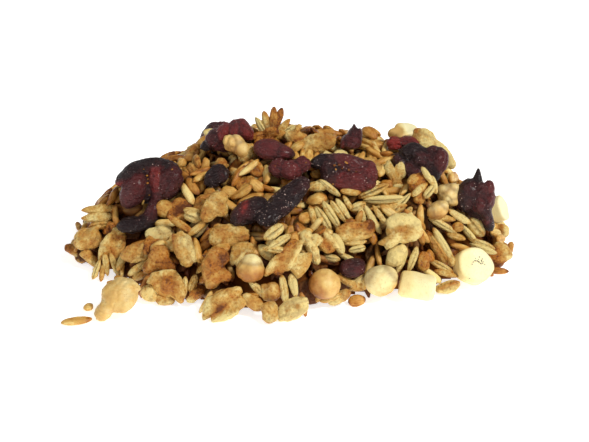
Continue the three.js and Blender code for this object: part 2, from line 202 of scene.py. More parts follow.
def castHeights(name, fromAbove=True):  # height of a node over every cell, nan where it isn't
    tree = treeOf(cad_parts[name])
    low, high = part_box(name)
    heights = np.full((len(rows), len(columns)), np.nan)
    down = Vector((0, 0, -1 if fromAbove else 1))
    for j in np.flatnonzero((rows * mm >= low.y) & (rows * mm <= high.y)):
        for i in np.flatnonzero((columns * mm >= low.x) & (columns * mm <= high.x)):
            start = Vector((columns[i] * mm, rows[j] * mm, 1 if fromAbove else -1))
            hit = tree.ray_cast(start, down)[0]
            if hit is not None:
                heights[j, i] = hit.z / mm
    return heights


def softened(grid, radius):  # blurred by a bell curve of that radius in mm
    reach = np.arange(-3 * radius, 3 * radius + cell, cell)
    weights = np.exp(-((reach / radius) ** 2))
    weights = weights / weights.sum()
    across = np.apply_along_axis(lambda line: np.convolve(line, weights, "same"), 1, grid)
    return np.apply_along_axis(lambda line: np.convolve(line, weights, "same"), 0, across)


heapCast = castHeights("granola_heap")
inHeap = ~np.isnan(heapCast)
surface = softened(np.nan_to_num(heapCast), heapForm["softening"])
surface = np.where(inHeap, surface, 0)
print("heap form read from the frame:", surface.shape, "cells, top", round(float(surface.max()), 1), "mm")


# Small shapes that are laid many times.
def arraysOf(bm, crease, toast=None):  # a shape as arrays, so that hundreds of copies are joined quickly
    bmesh.ops.recalc_face_normals(bm, faces=bm.faces)
    bm.verts.index_update()
    corners = [[vert.index for vert in face.verts] for face in bm.faces]
    made = {
        "points": np.array([vert.co for vert in bm.verts]),
        "creases": np.array([vert[crease] for vert in bm.verts]),
        "toasts": np.array([vert[toast] if toast else 0.0 for vert in bm.verts]),
        "corners": np.array([index for face in corners for index in face]),
        "sides": np.array([len(face) for face in corners]),
    }
    bm.free()
    return made


def centred(made):
    shift = (made["points"].max(0) + made["points"].min(0)) / 2
    points = made["points"] - shift
    return {**made, "points": points, "half": points.max(0), "shift": shift}


def bent(point, turn, amount, half):  # rolled up along the line at that turn, by amount radians at its edge
    if abs(amount) < 1e-4:
        return point
    across = Vector((math.cos(turn), math.sin(turn), 0))
    along = Vector((-math.sin(turn), math.cos(turn), 0))
    bend = amount / half
    radius = 1 / bend - point.z
    swing = point.dot(across) * bend
    lift = Vector((0, 0, 1 / bend - radius * math.cos(swing)))
    return across * (radius * math.sin(swing)) + along * point.dot(along) + lift


def wave(x, y, z):
    return noise.noise(Vector((x, y, z)))


def drawn(look, chance, *keys):  # one value out of each of these ranges
    return (chance.uniform(*look[key]) for key in keys)


oatGrain = {
    "variants": 12,
    "length": (7.6, 10.4),
    "width": (2.2, 3.1),
    "thick": (1.9, 2.5),
    "around": 8,
    "along": 7,
    "groove": (0.08, 0.42),  # depth of the lengthwise crease, as a share of the thickness
    "bow": (-0.28, 0.28),   # radians at the ends
    "taper": (-0.22, 0.22),
    "rolls": (0, 0, 25, -30, 180, 90),  # degrees about its own length
}

puffedOat = {
    "variants": 12,
    "length": (5.8, 8.2),
    "width": (3.8, 5.2),
    "thick": (1.7, 2.4),
    "around": 8,
    "along": 7,
    "groove": (0.05, 0.42),
    "bow": (-0.5, 0.5),
    "taper": (-0.25, 0.25),
    "rolls": (0, 0, 0, 12, -12, 180),
}


def grainShape(look, chance):
    bm = bmesh.new()
    crease = bm.verts.layers.float.new("crease")
    toast = bm.verts.layers.float.new("toast")
    bmesh.ops.create_uvsphere(bm, u_segments=look["around"], v_segments=look["along"], radius=1)
    length, width, thick = drawn(look, chance, "length", "width", "thick")
    groove, bow, taper = drawn(look, chance, "groove", "bow", "taper")
    roll = math.radians(chance.choice(look["rolls"]))
    seed = chance.uniform(0, 90)
    lipAngles = {0: 0, 45: 21, 90: 78, 135: 128, 180: 180}  # degrees from the crease, for its narrow lips
    for vert in bm.verts:
        along = vert.co.z
        away = math.degrees(math.atan2(vert.co.y, vert.co.x))
        step = round(abs(away) / 45) * 45
        angle = math.radians(90 + math.copysign(lipAngles[step], away))
        body = (1 - abs(along) ** 2.6) ** 0.6
        body = body * (1 + taper * along) * (1 + 0.1 * wave(along * 2, seed, 0))
        depth = 0
        if step == 0:
            depth = groove * (1 - along ** 4)
            # The groove is marked for the bran line in it and for painted shade.
            vert[crease] = 2.0 * groove * (1 - abs(along) ** 3)
        edge = 1 + 0.12 * wave(2.5 * along, math.cos(angle), seed + 9)
        y = body * math.cos(angle) * width / 2 * edge
        z = body * (math.sin(angle) - depth * 1.4) * thick / 2
        vert[toast] = 0.34 * abs(along) ** 5 - 0.08
        point = bent(Vector((along * length / 2, y, z)), 0, bow, length / 2)
        vert.co = Matrix.Rotation(roll, 3, "X") @ point
    return centred(arraysOf(bm, crease, toast))


rolledFlake = {
    "variants": 12,
    "length": (7.2, 10.2),
    "width": (5.2, 7.4),
    "thick": (1.1, 1.6),
    "around": 12,
    "along": 6,
    "ragged": 0.3,
    "curl": (0.1, 0.75),    # radians at its edge
    "dents": 0.45,          # mm
    "dentPace": 0.42,       # per mm
    "crease": 0.55,         # mm
}


def flakeShape(look, chance):
    bm = bmesh.new()
    crease = bm.verts.layers.float.new("crease")
    bmesh.ops.create_uvsphere(bm, u_segments=look["around"], v_segments=look["along"], radius=1)
    length, width, thick, curl = drawn(look, chance, "length", "width", "thick", "curl")
    seed = chance.uniform(0, 90)
    turn = chance.uniform(-0.5, 0.5) + math.pi / 2
    for vert in bm.verts:
        x, y, z = vert.co
        angle = math.atan2(y, x)
        outline = 1 + look["ragged"] * wave(1.2 * math.cos(angle), 1.2 * math.sin(angle), seed)
        outline += 0.5 * look["ragged"] * wave(3.1 * math.cos(angle), 3.1 * math.sin(angle), seed + 5)
        x, y = x * outline * length / 2, y * outline * width / 2
        skin = math.copysign(abs(z) ** 0.55, z) * thick / 2
        pace = look["dentPace"]
        finer = wave(x * pace * 2.3, y * pace * 2.3, seed)
        dent = look["dents"] * (wave(x * pace, y * pace, seed) + 0.5 * finer)
        fold = math.exp(-((y / 0.8) ** 2)) * max(0, 1 - abs(2 * x / length) ** 2)
        skin -= look["crease"] * fold * (1 if z > 0 else 0.5)
        # The middle fold and the dents are marked for painted shade.
        vert[crease] = min(1, 0.8 * fold + max(0, -dent * 1.1))
        vert.co = bent(Vector((x, y, skin + dent)), turn, curl, max(width, length) / 2)
    return centred(arraysOf(bm, crease))


# Soft things are lobes that have grown together. A lobe's place is in mm to the right, up and towards the
# viewer, seen from the front as the camera does, and its turn is in degrees in that view.


def lobesFrom(rows, wrinkle):  # a row ends with a number of its own and, where it differs, its wrinkle
    return [
        {"at": row[:3], "size": row[3:6], "turn": row[6], "wrinkle": row[8] if len(row) > 8 else wrinkle}
        for row in rows
    ]


def lobeAxes(lobe):
    turned = Matrix.Rotation(math.radians(lobe["turn"]), 3, "Z")
    return np.array(turned), np.array(lobe["at"], float), np.array(lobe["size"], float) / 2


def lobeField(points, lobes, blend):  # mm outside the joint surface, and each lobe's share in it
    away = []
    for lobe in lobes:
        turned, middle, half = lobeAxes(lobe)
        local = (points - middle) @ turned / half
        near = np.linalg.norm(local, axis=1) + 1e-6
        steep = np.linalg.norm(local / half, axis=1) + 1e-6
        away.append(near * (near - 1) / steep)
    away = np.array(away)
    least = away.min(0)
    weights = np.exp(-(away - least) / blend)
    total = weights.sum(0)
    return least - blend * np.log(total), weights / total


def fusedShape(lobes, look, seed, finer):
    bm = bmesh.new()
    bmesh.ops.create_icosphere(bm, subdivisions=finer, radius=1)
    ball = np.array([vert.co for vert in bm.verts])
    corners = np.array([vert.index for face in bm.faces for vert in face.verts])
    sides = np.array([len(face.verts) for face in bm.faces])
    bm.free()
    ends = np.concatenate([
        place + side * (turned * half).T
        for turned, place, half in map(lobeAxes, lobes)
        for side in (1, -1)
    ])
    places = [lobe["at"] for lobe in lobes]
    if look.get("firstInMiddle"):
        middle = np.array(places[0])
    else:
        middle = np.average(places, axis=0, weights=[np.prod(lobe["size"]) for lobe in lobes])
    _, spread, axes = np.linalg.svd(ends - middle, full_matrices=False)
    way = ball * (spread / spread.max()) @ axes
    way = way / np.linalg.norm(way, axis=1)[:, None]
    stride = 0.5  # mm, from well outside inwards, and then halved to find the surface
    outer = np.full(len(way), 20.0)
    found = np.zeros(len(way), bool)
    for reach in np.arange(19.5, 0, -stride):
        open_ = ~found
        inside = np.zeros(len(way), bool)
        inside[open_] = lobeField(middle + way[open_] * reach, lobes, look["blend"])[0] < 0
        outer[inside] = reach + stride
        found |= inside
    outer[~found] = stride
    inner = outer - stride
    for _ in range(6):
        half = (inner + outer) / 2
        inside = lobeField(middle + way * half[:, None], lobes, look["blend"])[0] < 0
        inner = np.where(inside, half, inner)
        outer = np.where(inside, outer, half)
    points = middle + way * outer[:, None]
    level, shares = lobeField(points, lobes, look["blend"])
    steps = np.eye(3) * 0.05
    facing = np.array([lobeField(points + step, lobes, look["blend"])[0] - level for step in steps]).T
    facing = facing / (np.linalg.norm(facing, axis=1)[:, None] + 1e-9)
    # Painted shade: the creases darken the seams where lobes meet and the folds of their wrinkles.
    creases = np.clip(2.2 * (1 - shares.max(0)), 0, 1) * look["seamShade"]
    push = np.zeros(len(points))
    folded = np.zeros(len(points))
    for k, lobe in enumerate(lobes):
        turned, place, _ = lobeAxes(lobe)
        local = (points - place) @ turned
        wrinkle = lobe["wrinkle"]
        for index in np.flatnonzero(shares[k] > 0.08):
            x, y, z = local[index]
            fold = abs(wave(x * look["foldsAlong"] + seed + k, y * look["folds"], z * look["folds"]))
            fine = abs(wave(x * 0.5, y * 0.9 + seed, z * 0.9 + k))
            share = shares[k][index]
            push[index] += share * wrinkle * (2.4 * min(fold, 0.4) - 0.4 + 0.35 * (2 * fine - 0.5))
            folded[index] += share * (max(0, 1 - 8 * fold) * 0.8 + max(0, 1 - 9 * fine) * 0.4)
    return {
        "points": points + facing * push[:, None],
        "creases": np.clip(creases + folded * look["foldShade"], 0, 1),
        "corners": corners,
        "sides": sides,
        "shares": shares,
    }


crispFlake = {
    "variants": 16,
    "fineness": 3,          # times that its faces are divided
    "length": (7.5, 11.5),
    "width": (5.8, 8.4),
    "thick": (2.2, 3.4),
    "lobes": (4, 6),
    "open": 0.35,           # share of them that are curled up round a hollow middle
    "blend": 0.3,
    "seamShade": 0.5,
    "foldShade": 0.4,
    "folds": 0.5,
    "foldsAlong": 0.4,
    "wrinkle": 0.3,
    "patches": 0.2,         # how much the lobes differ in toast
    "firstInMiddle": True,
}


def crispShape(look, chance):  # a puffed flake: thin lobes grown together, or curled up round a hollow
    length, width, thick = drawn(look, chance, "length", "width", "thick")
    count = chance.randint(*look["lobes"])
    hollow = chance.random() < look["open"]
    low = -0.3 * thick if hollow else 0
    rows = [(0, 0, low, length * 0.72, width * 0.72, thick * 0.7, 0, 0.2 if hollow else 0)]
    for k in range(count):
        angle = 2 * math.pi * (k + chance.uniform(-0.3, 0.3)) / count
        reach = 0.33 if hollow else chance.uniform(0.18, 0.3)
        right, up = math.cos(angle) * reach * length, math.sin(angle) * reach * width
        toward = chance.uniform(-0.25, 0.3) * thick
        if hollow:
            toward = chance.uniform(0.1, 0.5) * thick
        spans = ((length, 0.4, 0.56), (width, 0.3, 0.42), (thick, 0.7, 1.1))
        size = [span * chance.uniform(least, most) for span, least, most in spans]
        turn = math.degrees(angle) + 90 + chance.uniform(-25, 25)
        rows.append((right, up, toward, *size, turn, chance.uniform(-1, 1) * look["patches"]))
    made = fusedShape(lobesFrom(rows, look["wrinkle"]), look, chance.uniform(0, 90), look["fineness"])
    made["toasts"] = np.array([row[7] for row in rows]) @ made.pop("shares")
    return centred(made)


bundle = {
    "variants": 12,
    "parts": (3, 6),
    "step": 2.25,       # mm from one grain to the next
    "fan": 8,           # degrees from one to the next
    "roll": 9,          # degrees about its length, from one to the next
    "looseness": (12, 10, 7),  # degrees that each may roll, tip and turn besides
    "stagger": 1.3,     # mm
    "arch": 0.16,       # how far the outer grains lie lower
}


def bundleShape(look, chance):  # grains stuck side by side
    count = chance.randint(*look["parts"])
    parts = []
    for k in range(count):
        away = k - (count - 1) / 2
        part = grainShape(oatGrain, chance)
        drop = -look["arch"] * away ** 2 + chance.uniform(-0.35, 0.35)
        place = (chance.uniform(-1, 1) * look["stagger"], away * look["step"], drop)
        roll, tip, turn = (chance.uniform(-most, most) for most in look["looseness"])
        parts.append(placedShape(part, (away * look["roll"] + roll, tip, away * look["fan"] + turn), place))
    return joinedShape(parts)


nutChip = {
    "variants": 8,
    "length": (2.6, 4.8),
    "width": (2.0, 3.6),
    "thick": (1.5, 2.8),
    "lumps": 0.3,
}


def chipShape(look, chance, finer=2):
    bm = bmesh.new()
    crease = bm.verts.layers.float.new("crease")
    bmesh.ops.create_icosphere(bm, subdivisions=finer, radius=1)
    size = Vector([side / 2 for side in drawn(look, chance, "length", "width", "thick")])
    seed = chance.uniform(0, 90)
    for vert in bm.verts:
        lump = wave(vert.co.x * 1.1 + seed, vert.co.y * 1.1, vert.co.z * 1.1)
        lump += 0.6 * wave(vert.co.x * 2.6, vert.co.y * 2.6 + seed, vert.co.z * 2.6)
        # Hollows are marked for painted shade.
        vert[crease] = max(0, min(1, -lump * 1.6))
        vert.co = vert.co * (1 + look["lumps"] * lump) * size
    return centred(arraysOf(bm, crease))


cluster = {
    "variants": 8,
    "parts": (3, 5),
    "reach": 2.5,      # mm from the middle to each part
    "lump": {"length": (5.0, 7.0), "width": (4.0, 5.5), "thick": (3.0, 4.2), "lumps": 0.35},
}


def joinedShape(shapes):  # several placed shapes as one
    offset = 0
    corners = []
    for shape in shapes:
        corners.append(shape["corners"] + offset)
        offset += len(shape["points"])
    keys = ("points", "creases", "toasts", "sides")
    made = {key: np.concatenate([shape[key] for shape in shapes]) for key in keys}
    return centred({**made, "corners": np.concatenate(corners)})


def placedShape(shape, turns, place):
    turned = np.array(Euler([math.radians(turn) for turn in turns]).to_matrix())
    return {**shape, "points": shape["points"] @ turned.T + np.array(place)}


def clusterShape(look, chance):  # grains and puffed oats stuck on a lump of syrup
    parts = [chipShape(look["lump"], chance)]
    count = chance.randint(*look["parts"])
    for k in range(count):
        angle = 2 * math.pi * (k + chance.uniform(-0.25, 0.25)) / count
        kind = chance.choice((oatGrain, puffedOat, puffedOat))
        part = grainShape(kind, chance)
        place = (look["reach"] * math.cos(angle), look["reach"] * math.sin(angle), chance.uniform(0.2, 1.4))
        turns = (chance.uniform(-35, 35), chance.uniform(-30, 30), chance.uniform(0, 360))
        parts.append(placedShape(part, turns, place))
    return joinedShape(parts)


shapeChance = random.Random(11)
shapes = {
    "grain": [grainShape(oatGrain, shapeChance) for _ in range(oatGrain["variants"])],
    "puffed": [grainShape(puffedOat, shapeChance) for _ in range(puffedOat["variants"])],
    "rolled": [flakeShape(rolledFlake, shapeChance) for _ in range(rolledFlake["variants"])],
    "crisp": [crispShape(crispFlake, shapeChance) for _ in range(crispFlake["variants"])],
    "bundle": [bundleShape(bundle, shapeChance) for _ in range(bundle["variants"])],
    "chip": [chipShape(nutChip, shapeChance) for _ in range(nutChip["variants"])],
    "cluster": [clusterShape(cluster, shapeChance) for _ in range(cluster["variants"])],
}
print("small shapes:", {kind: len(made) for kind, made in shapes.items()})


# The pieces that show best, each where the photo shows it: seen is that pixel, or at is its place on the heap
# in mm. Lobes grow together into one piece and grains lie side by side. Both are rows of right, up, to the
# viewer, length, width, depth, turn and toast, and rise lifts the piece out of the heap's surface.
showPieces = [
    # left front, from the top down
    {"seen": (213, 206), "lobes": [
        (0, 0, 0, 9.4, 5.4, 2.6, 60, 0.42), (1.6, 2.2, 0.2, 6, 4, 2.4, 10, 0.36),
        (-1.6, -2.4, 0.2, 5.4, 4, 2.4, 75, 0.5), (2.6, -1, 0.1, 4.6, 4, 2.2, 80, 0.44),
    ]},
    {"seen": (101, 216), "grains": [
        (-0.5, 2.2, 0, 11.5, 3, 2.8, 4, 0.4), (-1, -0.4, 0.5, 10.5, 3.2, 3, 3, 0.34),
        (0.8, -2.8, 0.2, 9.5, 2.8, 2.6, 8, 0.5), (5.4, 1.8, 0.2, 5, 3.4, 2.8, 20, 0.75),
    ]},
    {"seen": (88, 239), "rise": 0, "wrinkle": 0.45, "lobes": [
        (0, 0, 0, 8.6, 6.6, 6, 0, 0.48), (-1.8, -1.4, 1.4, 4.5, 3.6, 4, -20, 0.38),
        (1.6, 1, 1, 4.6, 3.6, 4, 30, 0.5), (1.4, 2.8, 0.4, 6, 1.6, 2.4, 30, 0.4),
    ]},
    {"seen": (70, 258), "rise": 0, "lobes": [
        (0, 0, 0, 4.6, 3.6, 3.4, -30, 0.55), (-1.9, 0.8, 0.2, 2.8, 2.8, 2.4, 0, 0.8),
        (1.7, -1.3, 0.2, 3.8, 2.6, 2.6, -50, 0.38),
    ]},
    {"seen": (91, 259), "lobes": [
        (0, 0, 0, 5.6, 2.8, 2.8, -40, 0.4), (-1.6, 1.8, 0.3, 3.8, 2.2, 2.4, 20, 0.5),
        (1.4, -1.4, 0.2, 3.4, 2.4, 2.4, -50, 0.3),
    ]},
    {"seen": (112, 247), "lobes": [
        (0.2, 0, -0.6, 9.5, 7.5, 2.6, 70, 0.5), (-3.4, -1.8, 0.5, 6, 1.4, 2.4, 80, 0.24),
        (-1.6, 2.4, 0.6, 5.5, 1.4, 2.4, 52, 0.22), (2.3, 5.1, 0.3, 4.2, 2.2, 2.4, -5, 0.2),
        (2.3, 1, 0.9, 2.6, 1, 1.6, 60, 0.26), (3, 3, 0.1, 3, 1.8, 1.6, 10, 0.8),
    ]},
    {"seen": (137, 252), "wrinkle": 0.4, "lobes": [
        (0, 0, 0, 9, 5, 2.6, 12, 0.48), (-2.6, -1.2, 0.3, 4.5, 3.4, 2.4, -10, 0.5),
        (2.4, 1.2, 0.3, 4.5, 3.2, 2.2, 20, 0.54), (1, -2.2, 0.5, 6, 1, 1.6, 18, 0.2),
    ]},
    # The last lobe darkens this pale grain's underside as painted shade.
    {"seen": (160, 234), "lobes": [
        (0, 0, 0, 9.2, 4.6, 3.6, 0, 0.06), (1.2, 1, 0.4, 5, 3, 3, 0, 0.1),
        (0.5, -1.8, -0.3, 7.5, 2.2, 3, 2, 0.5),
    ]},
    {"seen": (184, 248), "wrinkle": 0.4, "lobes": [
        (0, 0, 0, 10.2, 6, 4, -72, 0.36), (-2.3, 0.8, 0.3, 7, 1.8, 3, -72, 0.7),
        (2.1, -0.4, 0.6, 8, 1.6, 3, -70, 0.1), (0.4, 1.6, 1.2, 3.6, 2.4, 2.4, -60, 0.16),
        (0.8, -4, 0.3, 3.6, 3, 3, 0, 0.3),
    ]},
    {"seen": (158, 260), "wrinkle": 0.4, "lobes": [
        (0.4, 1.4, 0, 6.4, 5.2, 3.4, 10, 0.66), (-2.2, -2, 0, 5.6, 4, 3, 35, 0.62),
        (1.8, -1.6, 0.4, 4.6, 3.4, 2.8, -20, 0.8), (0.2, 3.6, 0, 4.6, 1.8, 2.4, -8, 0.56),
        (3.8, -2, -0.4, 3.4, 3.4, 2.6, 0, 0.9),
    ]},
    {"seen": (108, 268), "grains": [
        (-3.4, -1.2, 0.2, 6.8, 1.9, 2.2, 70, 0.3), (-1.6, -2, 0, 6.4, 1.8, 2.2, 78, 0.5),
        (-0.4, 0.4, 0.4, 7.6, 2, 2.4, 98, 0.42), (2.2, 0.4, 0.5, 8.4, 2.1, 2.4, 112, 0.34),
    ]},
    {"seen": (138, 268), "grains": [
        (0, 0, 0.3, 7.8, 2.4, 2.4, 36, 0.26), (0.8, -2.2, 0, 5.6, 2.6, 2.4, 24, 0.5),
    ]},
    {"seen": (180, 224), "grains": [
        (0, 0, 0, 9.4, 2.6, 2.6, -34, 0.66), (4, 2.2, 0.2, 6, 3.6, 2.6, -20, 0.16),
    ]},
    {"seen": (167, 284), "rise": 0.8, "lobes": [
        (0, -0.2, -0.8, 9.4, 7.2, 3.4, -20, 0.54), (0.4, 0, 0.2, 4.6, 4.2, 2.6, 60, 0.84),
        (-1, 3.4, 0.6, 8, 1.5, 2.6, 8, 0.26), (4.3, -0.4, 0.5, 7.4, 1.6, 2.6, -72, 0.3),
        (-4.4, 1.4, 0.4, 4.6, 1.5, 2.4, 40, 0.26), (3.4, -4, 0, 4.2, 2.6, 2.6, -60, 0.5),
    ]},
    {"seen": (150, 293), "rise": 0.8, "lobes": [
        (0, 0, 0, 5.6, 4.8, 3, 20, 0.04), (-0.6, 1.6, 0.4, 4, 1.6, 2, 15, 0.12),
        (1.2, -1.6, 0.2, 3.4, 1.8, 2.2, 10, 0.2),
    ]},
    {"seen": (164, 299), "rise": 0.8, "lobes": [
        (0, 0, 0, 6.4, 3.4, 2.8, -12, 0.44), (0.6, -0.9, 0.5, 5.4, 1.4, 2, 6, 0.16),
    ]},
    {"seen": (189, 288), "grains": [
        (-1.4, 0.3, 0, 6.6, 2.4, 2.4, 82, 0.3), (1.3, 1.4, 0.2, 5.8, 2.6, 2.4, 70, 0.36),
    ]},
    {"seen": (197, 294), "lobes": [
        (0, 0, 0, 4.6, 3.2, 3, 20, 0.74), (-1.6, -1.6, 0.2, 2.8, 2.2, 2, 0, 0.2),
    ]},
    # the middle front
    {"seen": (229, 236), "wrinkle": 0.55, "lobes": [
        (0, 0, 0, 11.8, 6.4, 3.4, -4, 0.44), (-3.4, -0.6, 0.4, 5, 4.6, 3, 20, 0.38),
        (3.6, 0.8, 0.5, 4.6, 4.2, 3, -10, 0.48), (0, 2.2, 0.3, 8, 2.2, 2.4, 0, 0.34),
        (4.6, -0.6, 0.9, 2.6, 2.2, 2, 0, 0.84), (-1.6, -2.8, 0.3, 6, 2.2, 2.6, 8, 0.5),
    ]},
    {"seen": (215, 267), "wrinkle": 0.45, "lobes": [
        (-0.6, -0.4, -0.4, 10, 6, 3.4, 80, 0.68), (0.8, 3.6, 0, 6.4, 4.4, 3.6, 5, 0.68),
        (2.4, 2.4, 0.6, 4, 3.6, 3, 80, 0.94), (-1.6, 0.6, 0.3, 4.8, 4.6, 3.4, 80, 0.62),
        (-0.6, -3.4, 0.2, 5.8, 4.4, 3.6, 60, 0.66), (-2.4, -1.6, 0.7, 5.4, 2.4, 2.6, 90, 0.44),
        (2.8, -2.6, 0, 4, 4, 3, 0, 0.76), (-0.8, -5.2, 0.2, 3.4, 1.8, 2.4, 0, 0.46),
    ]},
    {"seen": (242, 255), "lobes": [
        (0, 0.2, -0.9, 5.4, 5.4, 2.2, 0, 0.8), (0.6, 2.6, 0.2, 6.2, 2.4, 2.8, 4, 0.38),
        (-2.6, -0.4, 0.3, 6.4, 2, 2.8, 82, 0.36), (2.6, 1.4, 0.3, 4, 2.2, 2.8, -60, 0.4),
        (-0.5, -1.5, 0.7, 5, 1.8, 2.2, 66, 0.16),
    ]},
    {"seen": (266, 252), "grains": [
        (0, 0, 0.2, 6.2, 3.6, 3, -42, 0.26), (3, 2.4, 0, 6.4, 2.6, 2.4, -8, 0.3),
    ]},
    {"seen": (284, 260), "rise": 0.8, "lobes": [
        (0.6, 0.8, 0, 12, 4.6, 3, 58, 0.66), (-3.4, -1.6, 0.4, 7.4, 2.2, 2.6, 56, 0.3),
        (3.4, 1.6, 0.6, 10.4, 1.7, 2.6, 66, 0.14), (1.8, 0.4, 0.9, 8.4, 1, 1.8, 62, 0.6),
        (5.6, -1.6, -0.2, 9, 3, 2.4, 60, 0.44),
    ]},
    {"seen": (284, 244), "grains": [
        (-1.5, 0.6, 0.2, 8.4, 2.4, 2.4, 32, 0.3), (-1.6, -1.8, 0, 9.4, 2.2, 2.4, -8, 0.36),
        (-3, 3.4, 0.4, 7.2, 3.6, 2.8, 36, 0.28),
    ]},
    {"seen": (272, 292), "lobes": [
        (0, 0, -0.2, 5.8, 5, 4.2, 90, 0.62), (0.2, 0.4, 0.7, 4, 3.6, 3.4, 90, 0.34),
        (-2.3, 0, -0.2, 5.4, 1.6, 3, 96, 0.3),
    ]},
    {"seen": (288, 288), "grains": [
        (-1.2, -0.4, 0, 8.8, 2.6, 2.6, 98, 0.26), (1.6, 0.8, 0.3, 7.2, 2.6, 2.6, 102, 0.16),
    ]},
    {"seen": (223, 304), "rise": 1, "lobes": [
        (0, 0, -0.8, 11.4, 7.4, 3.4, 28, 0.48), (1.4, 2.4, 0.3, 9.2, 3.6, 3, 22, 0.44),
        (-4.6, -1.4, 0.5, 8, 2, 3, 76, 0.16), (0.6, -3.8, 0.4, 8.6, 2.4, 3, 18, 0.06),
        (-0.8, -1.6, 0.1, 6.6, 1.8, 2.6, 48, 0.96), (5.2, 0.2, 0, 3.6, 3.4, 2.6, 60, 0.4),
        (3.2, -2, 0.5, 4.6, 1.4, 2.2, 30, 0.56),
    ]},
    {"seen": (254, 303), "lobes": [
        (0, 0, 0, 6.2, 4.2, 3, -30, 0.48), (-1.8, 1.4, 0.3, 3.8, 2.6, 2.4, -50, 0.3),
    ]},
    {"seen": (270, 313), "lobes": [
        (0, 0, 0, 6.4, 4.4, 3.6, 70, 0.42), (-0.8, 1.8, 0.4, 4.4, 2.2, 2.8, 20, 0.4),
        (0.8, -1.8, 0.4, 3.6, 2.2, 2.8, 10, 0.24),
    ]},
    {"seen": (258, 289), "grains": [
        (0, 0, 0.2, 7.4, 2.4, 2.4, -42, 0.24), (-2.6, -2.6, 0, 6.6, 2.6, 2.4, 20, 0.5),
    ]},
    {"seen": (322, 292), "grains": [
        (0, 0, 0.2, 7.4, 2.6, 2.4, 62, 0.5), (2.6, -1.6, 0, 7, 2.4, 2.4, 20, 0.4),
    ]},
    {"seen": (347, 281), "grains": [
        (0, 0, 0.2, 7.4, 2.6, 2.4, -30, 0.5), (1, 2.4, 0, 7, 2.4, 2.4, 10, 0.3),
    ]},
    {"seen": (293, 311), "rise": 0.8, "lobes": [
        (0, 0, 0, 9.8, 6.2, 4, 26, 0.06), (-0.4, -1.7, 0.7, 8.6, 1.7, 2.4, 22, -0.06),
        (0.8, 2, 0.5, 7.4, 1.6, 2.4, 18, 0.14), (-1.4, -0.2, 1.2, 1.7, 1.2, 1.7, 0, 0.7),
        (1.2, 0.8, 1.3, 1.6, 1.1, 1.6, 0, 0.66),
    ]},
    {"seen": (311, 248), "lobes": [
        (0, 0.4, 0, 9.4, 3.2, 3, -62, 0.22), (-1.6, 3.4, 0.1, 4, 3.4, 3, 60, 0.16),
        (1.4, -3.2, 0.2, 4, 2.4, 2.6, -70, 0.1), (1.9, 2.6, 0.3, 3.6, 2.6, 2.6, -50, 0.28),
    ]},
    {"seen": (327, 244), "lobes": [
        (0, 0, -0.4, 6, 4.6, 2.6, -50, 0.8), (1.3, 1.2, 0.4, 7.4, 1.8, 2.4, -48, 0.2),
        (-1.7, -0.4, 0.3, 5.2, 1.5, 2.2, -50, 0.3),
    ]},
    {"seen": (338, 244), "grains": [
        (0, 0, 0.4, 7.2, 3.2, 3, -62, 0.1), (-2.2, -4.2, 0.2, 6, 2.6, 2.4, -10, 0.2),
    ]},
    {"seen": (355, 246), "grains": [
        (0, 1.2, 0, 7.4, 2.2, 2.6, 4, 0.42), (0.6, -0.9, 0.3, 5.4, 2.4, 2.6, 12, 0.16),
        (-2, -3.6, 0.1, 7.6, 1.9, 2.2, -26, 0.2),
    ]},
    # the right half
    {"seen": (328, 217), "grains": [
        (-4.4, -0.4, 0, 8.4, 2.4, 2.6, -72, 0.36), (-1.6, -0.4, 0.4, 9, 2.8, 2.8, -58, 0.16),
        (0.9, 0.8, 0.3, 9.6, 2.6, 2.8, -58, 0.2), (3, 1.6, 0, 8.4, 1.8, 2.4, -55, 0.36),
        (-1.8, -5.6, 0.2, 8, 2.2, 2.4, 6, 0.3),
    ]},
    {"seen": (343, 209), "grains": [
        (0, 0, 0.3, 7.8, 2.2, 2.4, -56, 0.14), (1.6, 1.6, 0, 6, 1.6, 2, -58, 0.3),
        (4.6, 0.8, 0, 5.2, 2.8, 2.4, 22, 0.3),
    ]},
    {"seen": (371, 219), "grains": [
        (-2.8, 1.4, 0, 5.8, 2.2, 2.4, -75, 0.16), (0.4, -0.2, 0.3, 10.4, 2.3, 2.6, -60, 0.1),
        (2.7, 1, 0, 8, 1.8, 2.2, -55, 0.32),
    ]},
    {"seen": (384, 201), "grains": [
        (-3.2, 3, 0, 10.4, 3, 3, 24, 0.4), (0, 0.4, 0.6, 13.4, 3, 3, 3, 0.06),
        (1.2, -1.9, 0.2, 12, 2.4, 2.6, 6, 0.4), (5, -1, 0.4, 9.4, 2.3, 2.6, 46, 0.12),
        (3, -3.6, 0.1, 9, 2, 2.4, 32, 0.26), (6.4, -4.6, 0, 7.4, 1.9, 2.4, 52, 0.2),
    ]},
    {"seen": (321, 190), "grains": [
        (-1.2, 1.2, 0, 7.4, 3.4, 2.8, 4, 0.3), (2.6, 0.6, 0.4, 8.4, 2.2, 2.4, -38, 0.16),
        (9, -0.6, 0, 6.6, 2.6, 2.4, -4, 0.46),
    ]},
    {"seen": (395, 174), "lobes": [
        (0, -0.4, 0, 5, 4.2, 3, 90, 0.34), (-2.2, 2, 0, 4.8, 2, 3, 80, 0.1),
        (2, 1.6, 0.2, 5.4, 2.6, 3, -70, 0.08), (0, -2.2, 0, 4, 3, 3, 0, 0.6),
    ], "grains": [(1.6, -4.6, 0.4, 5.6, 3, 2.8, -16, 0.2), (1.6, -6.6, 0.2, 6.4, 1.8, 2.2, -12, 0.26)]},
    {"seen": (354, 232), "rise": 0.8, "wrinkle": 0.35, "lobes": [
        (0, -0.8, 0, 11.4, 4.2, 3, 8, 0.42), (-1.6, 1.4, 0.3, 8.4, 2.6, 2.6, 16, 0.58),
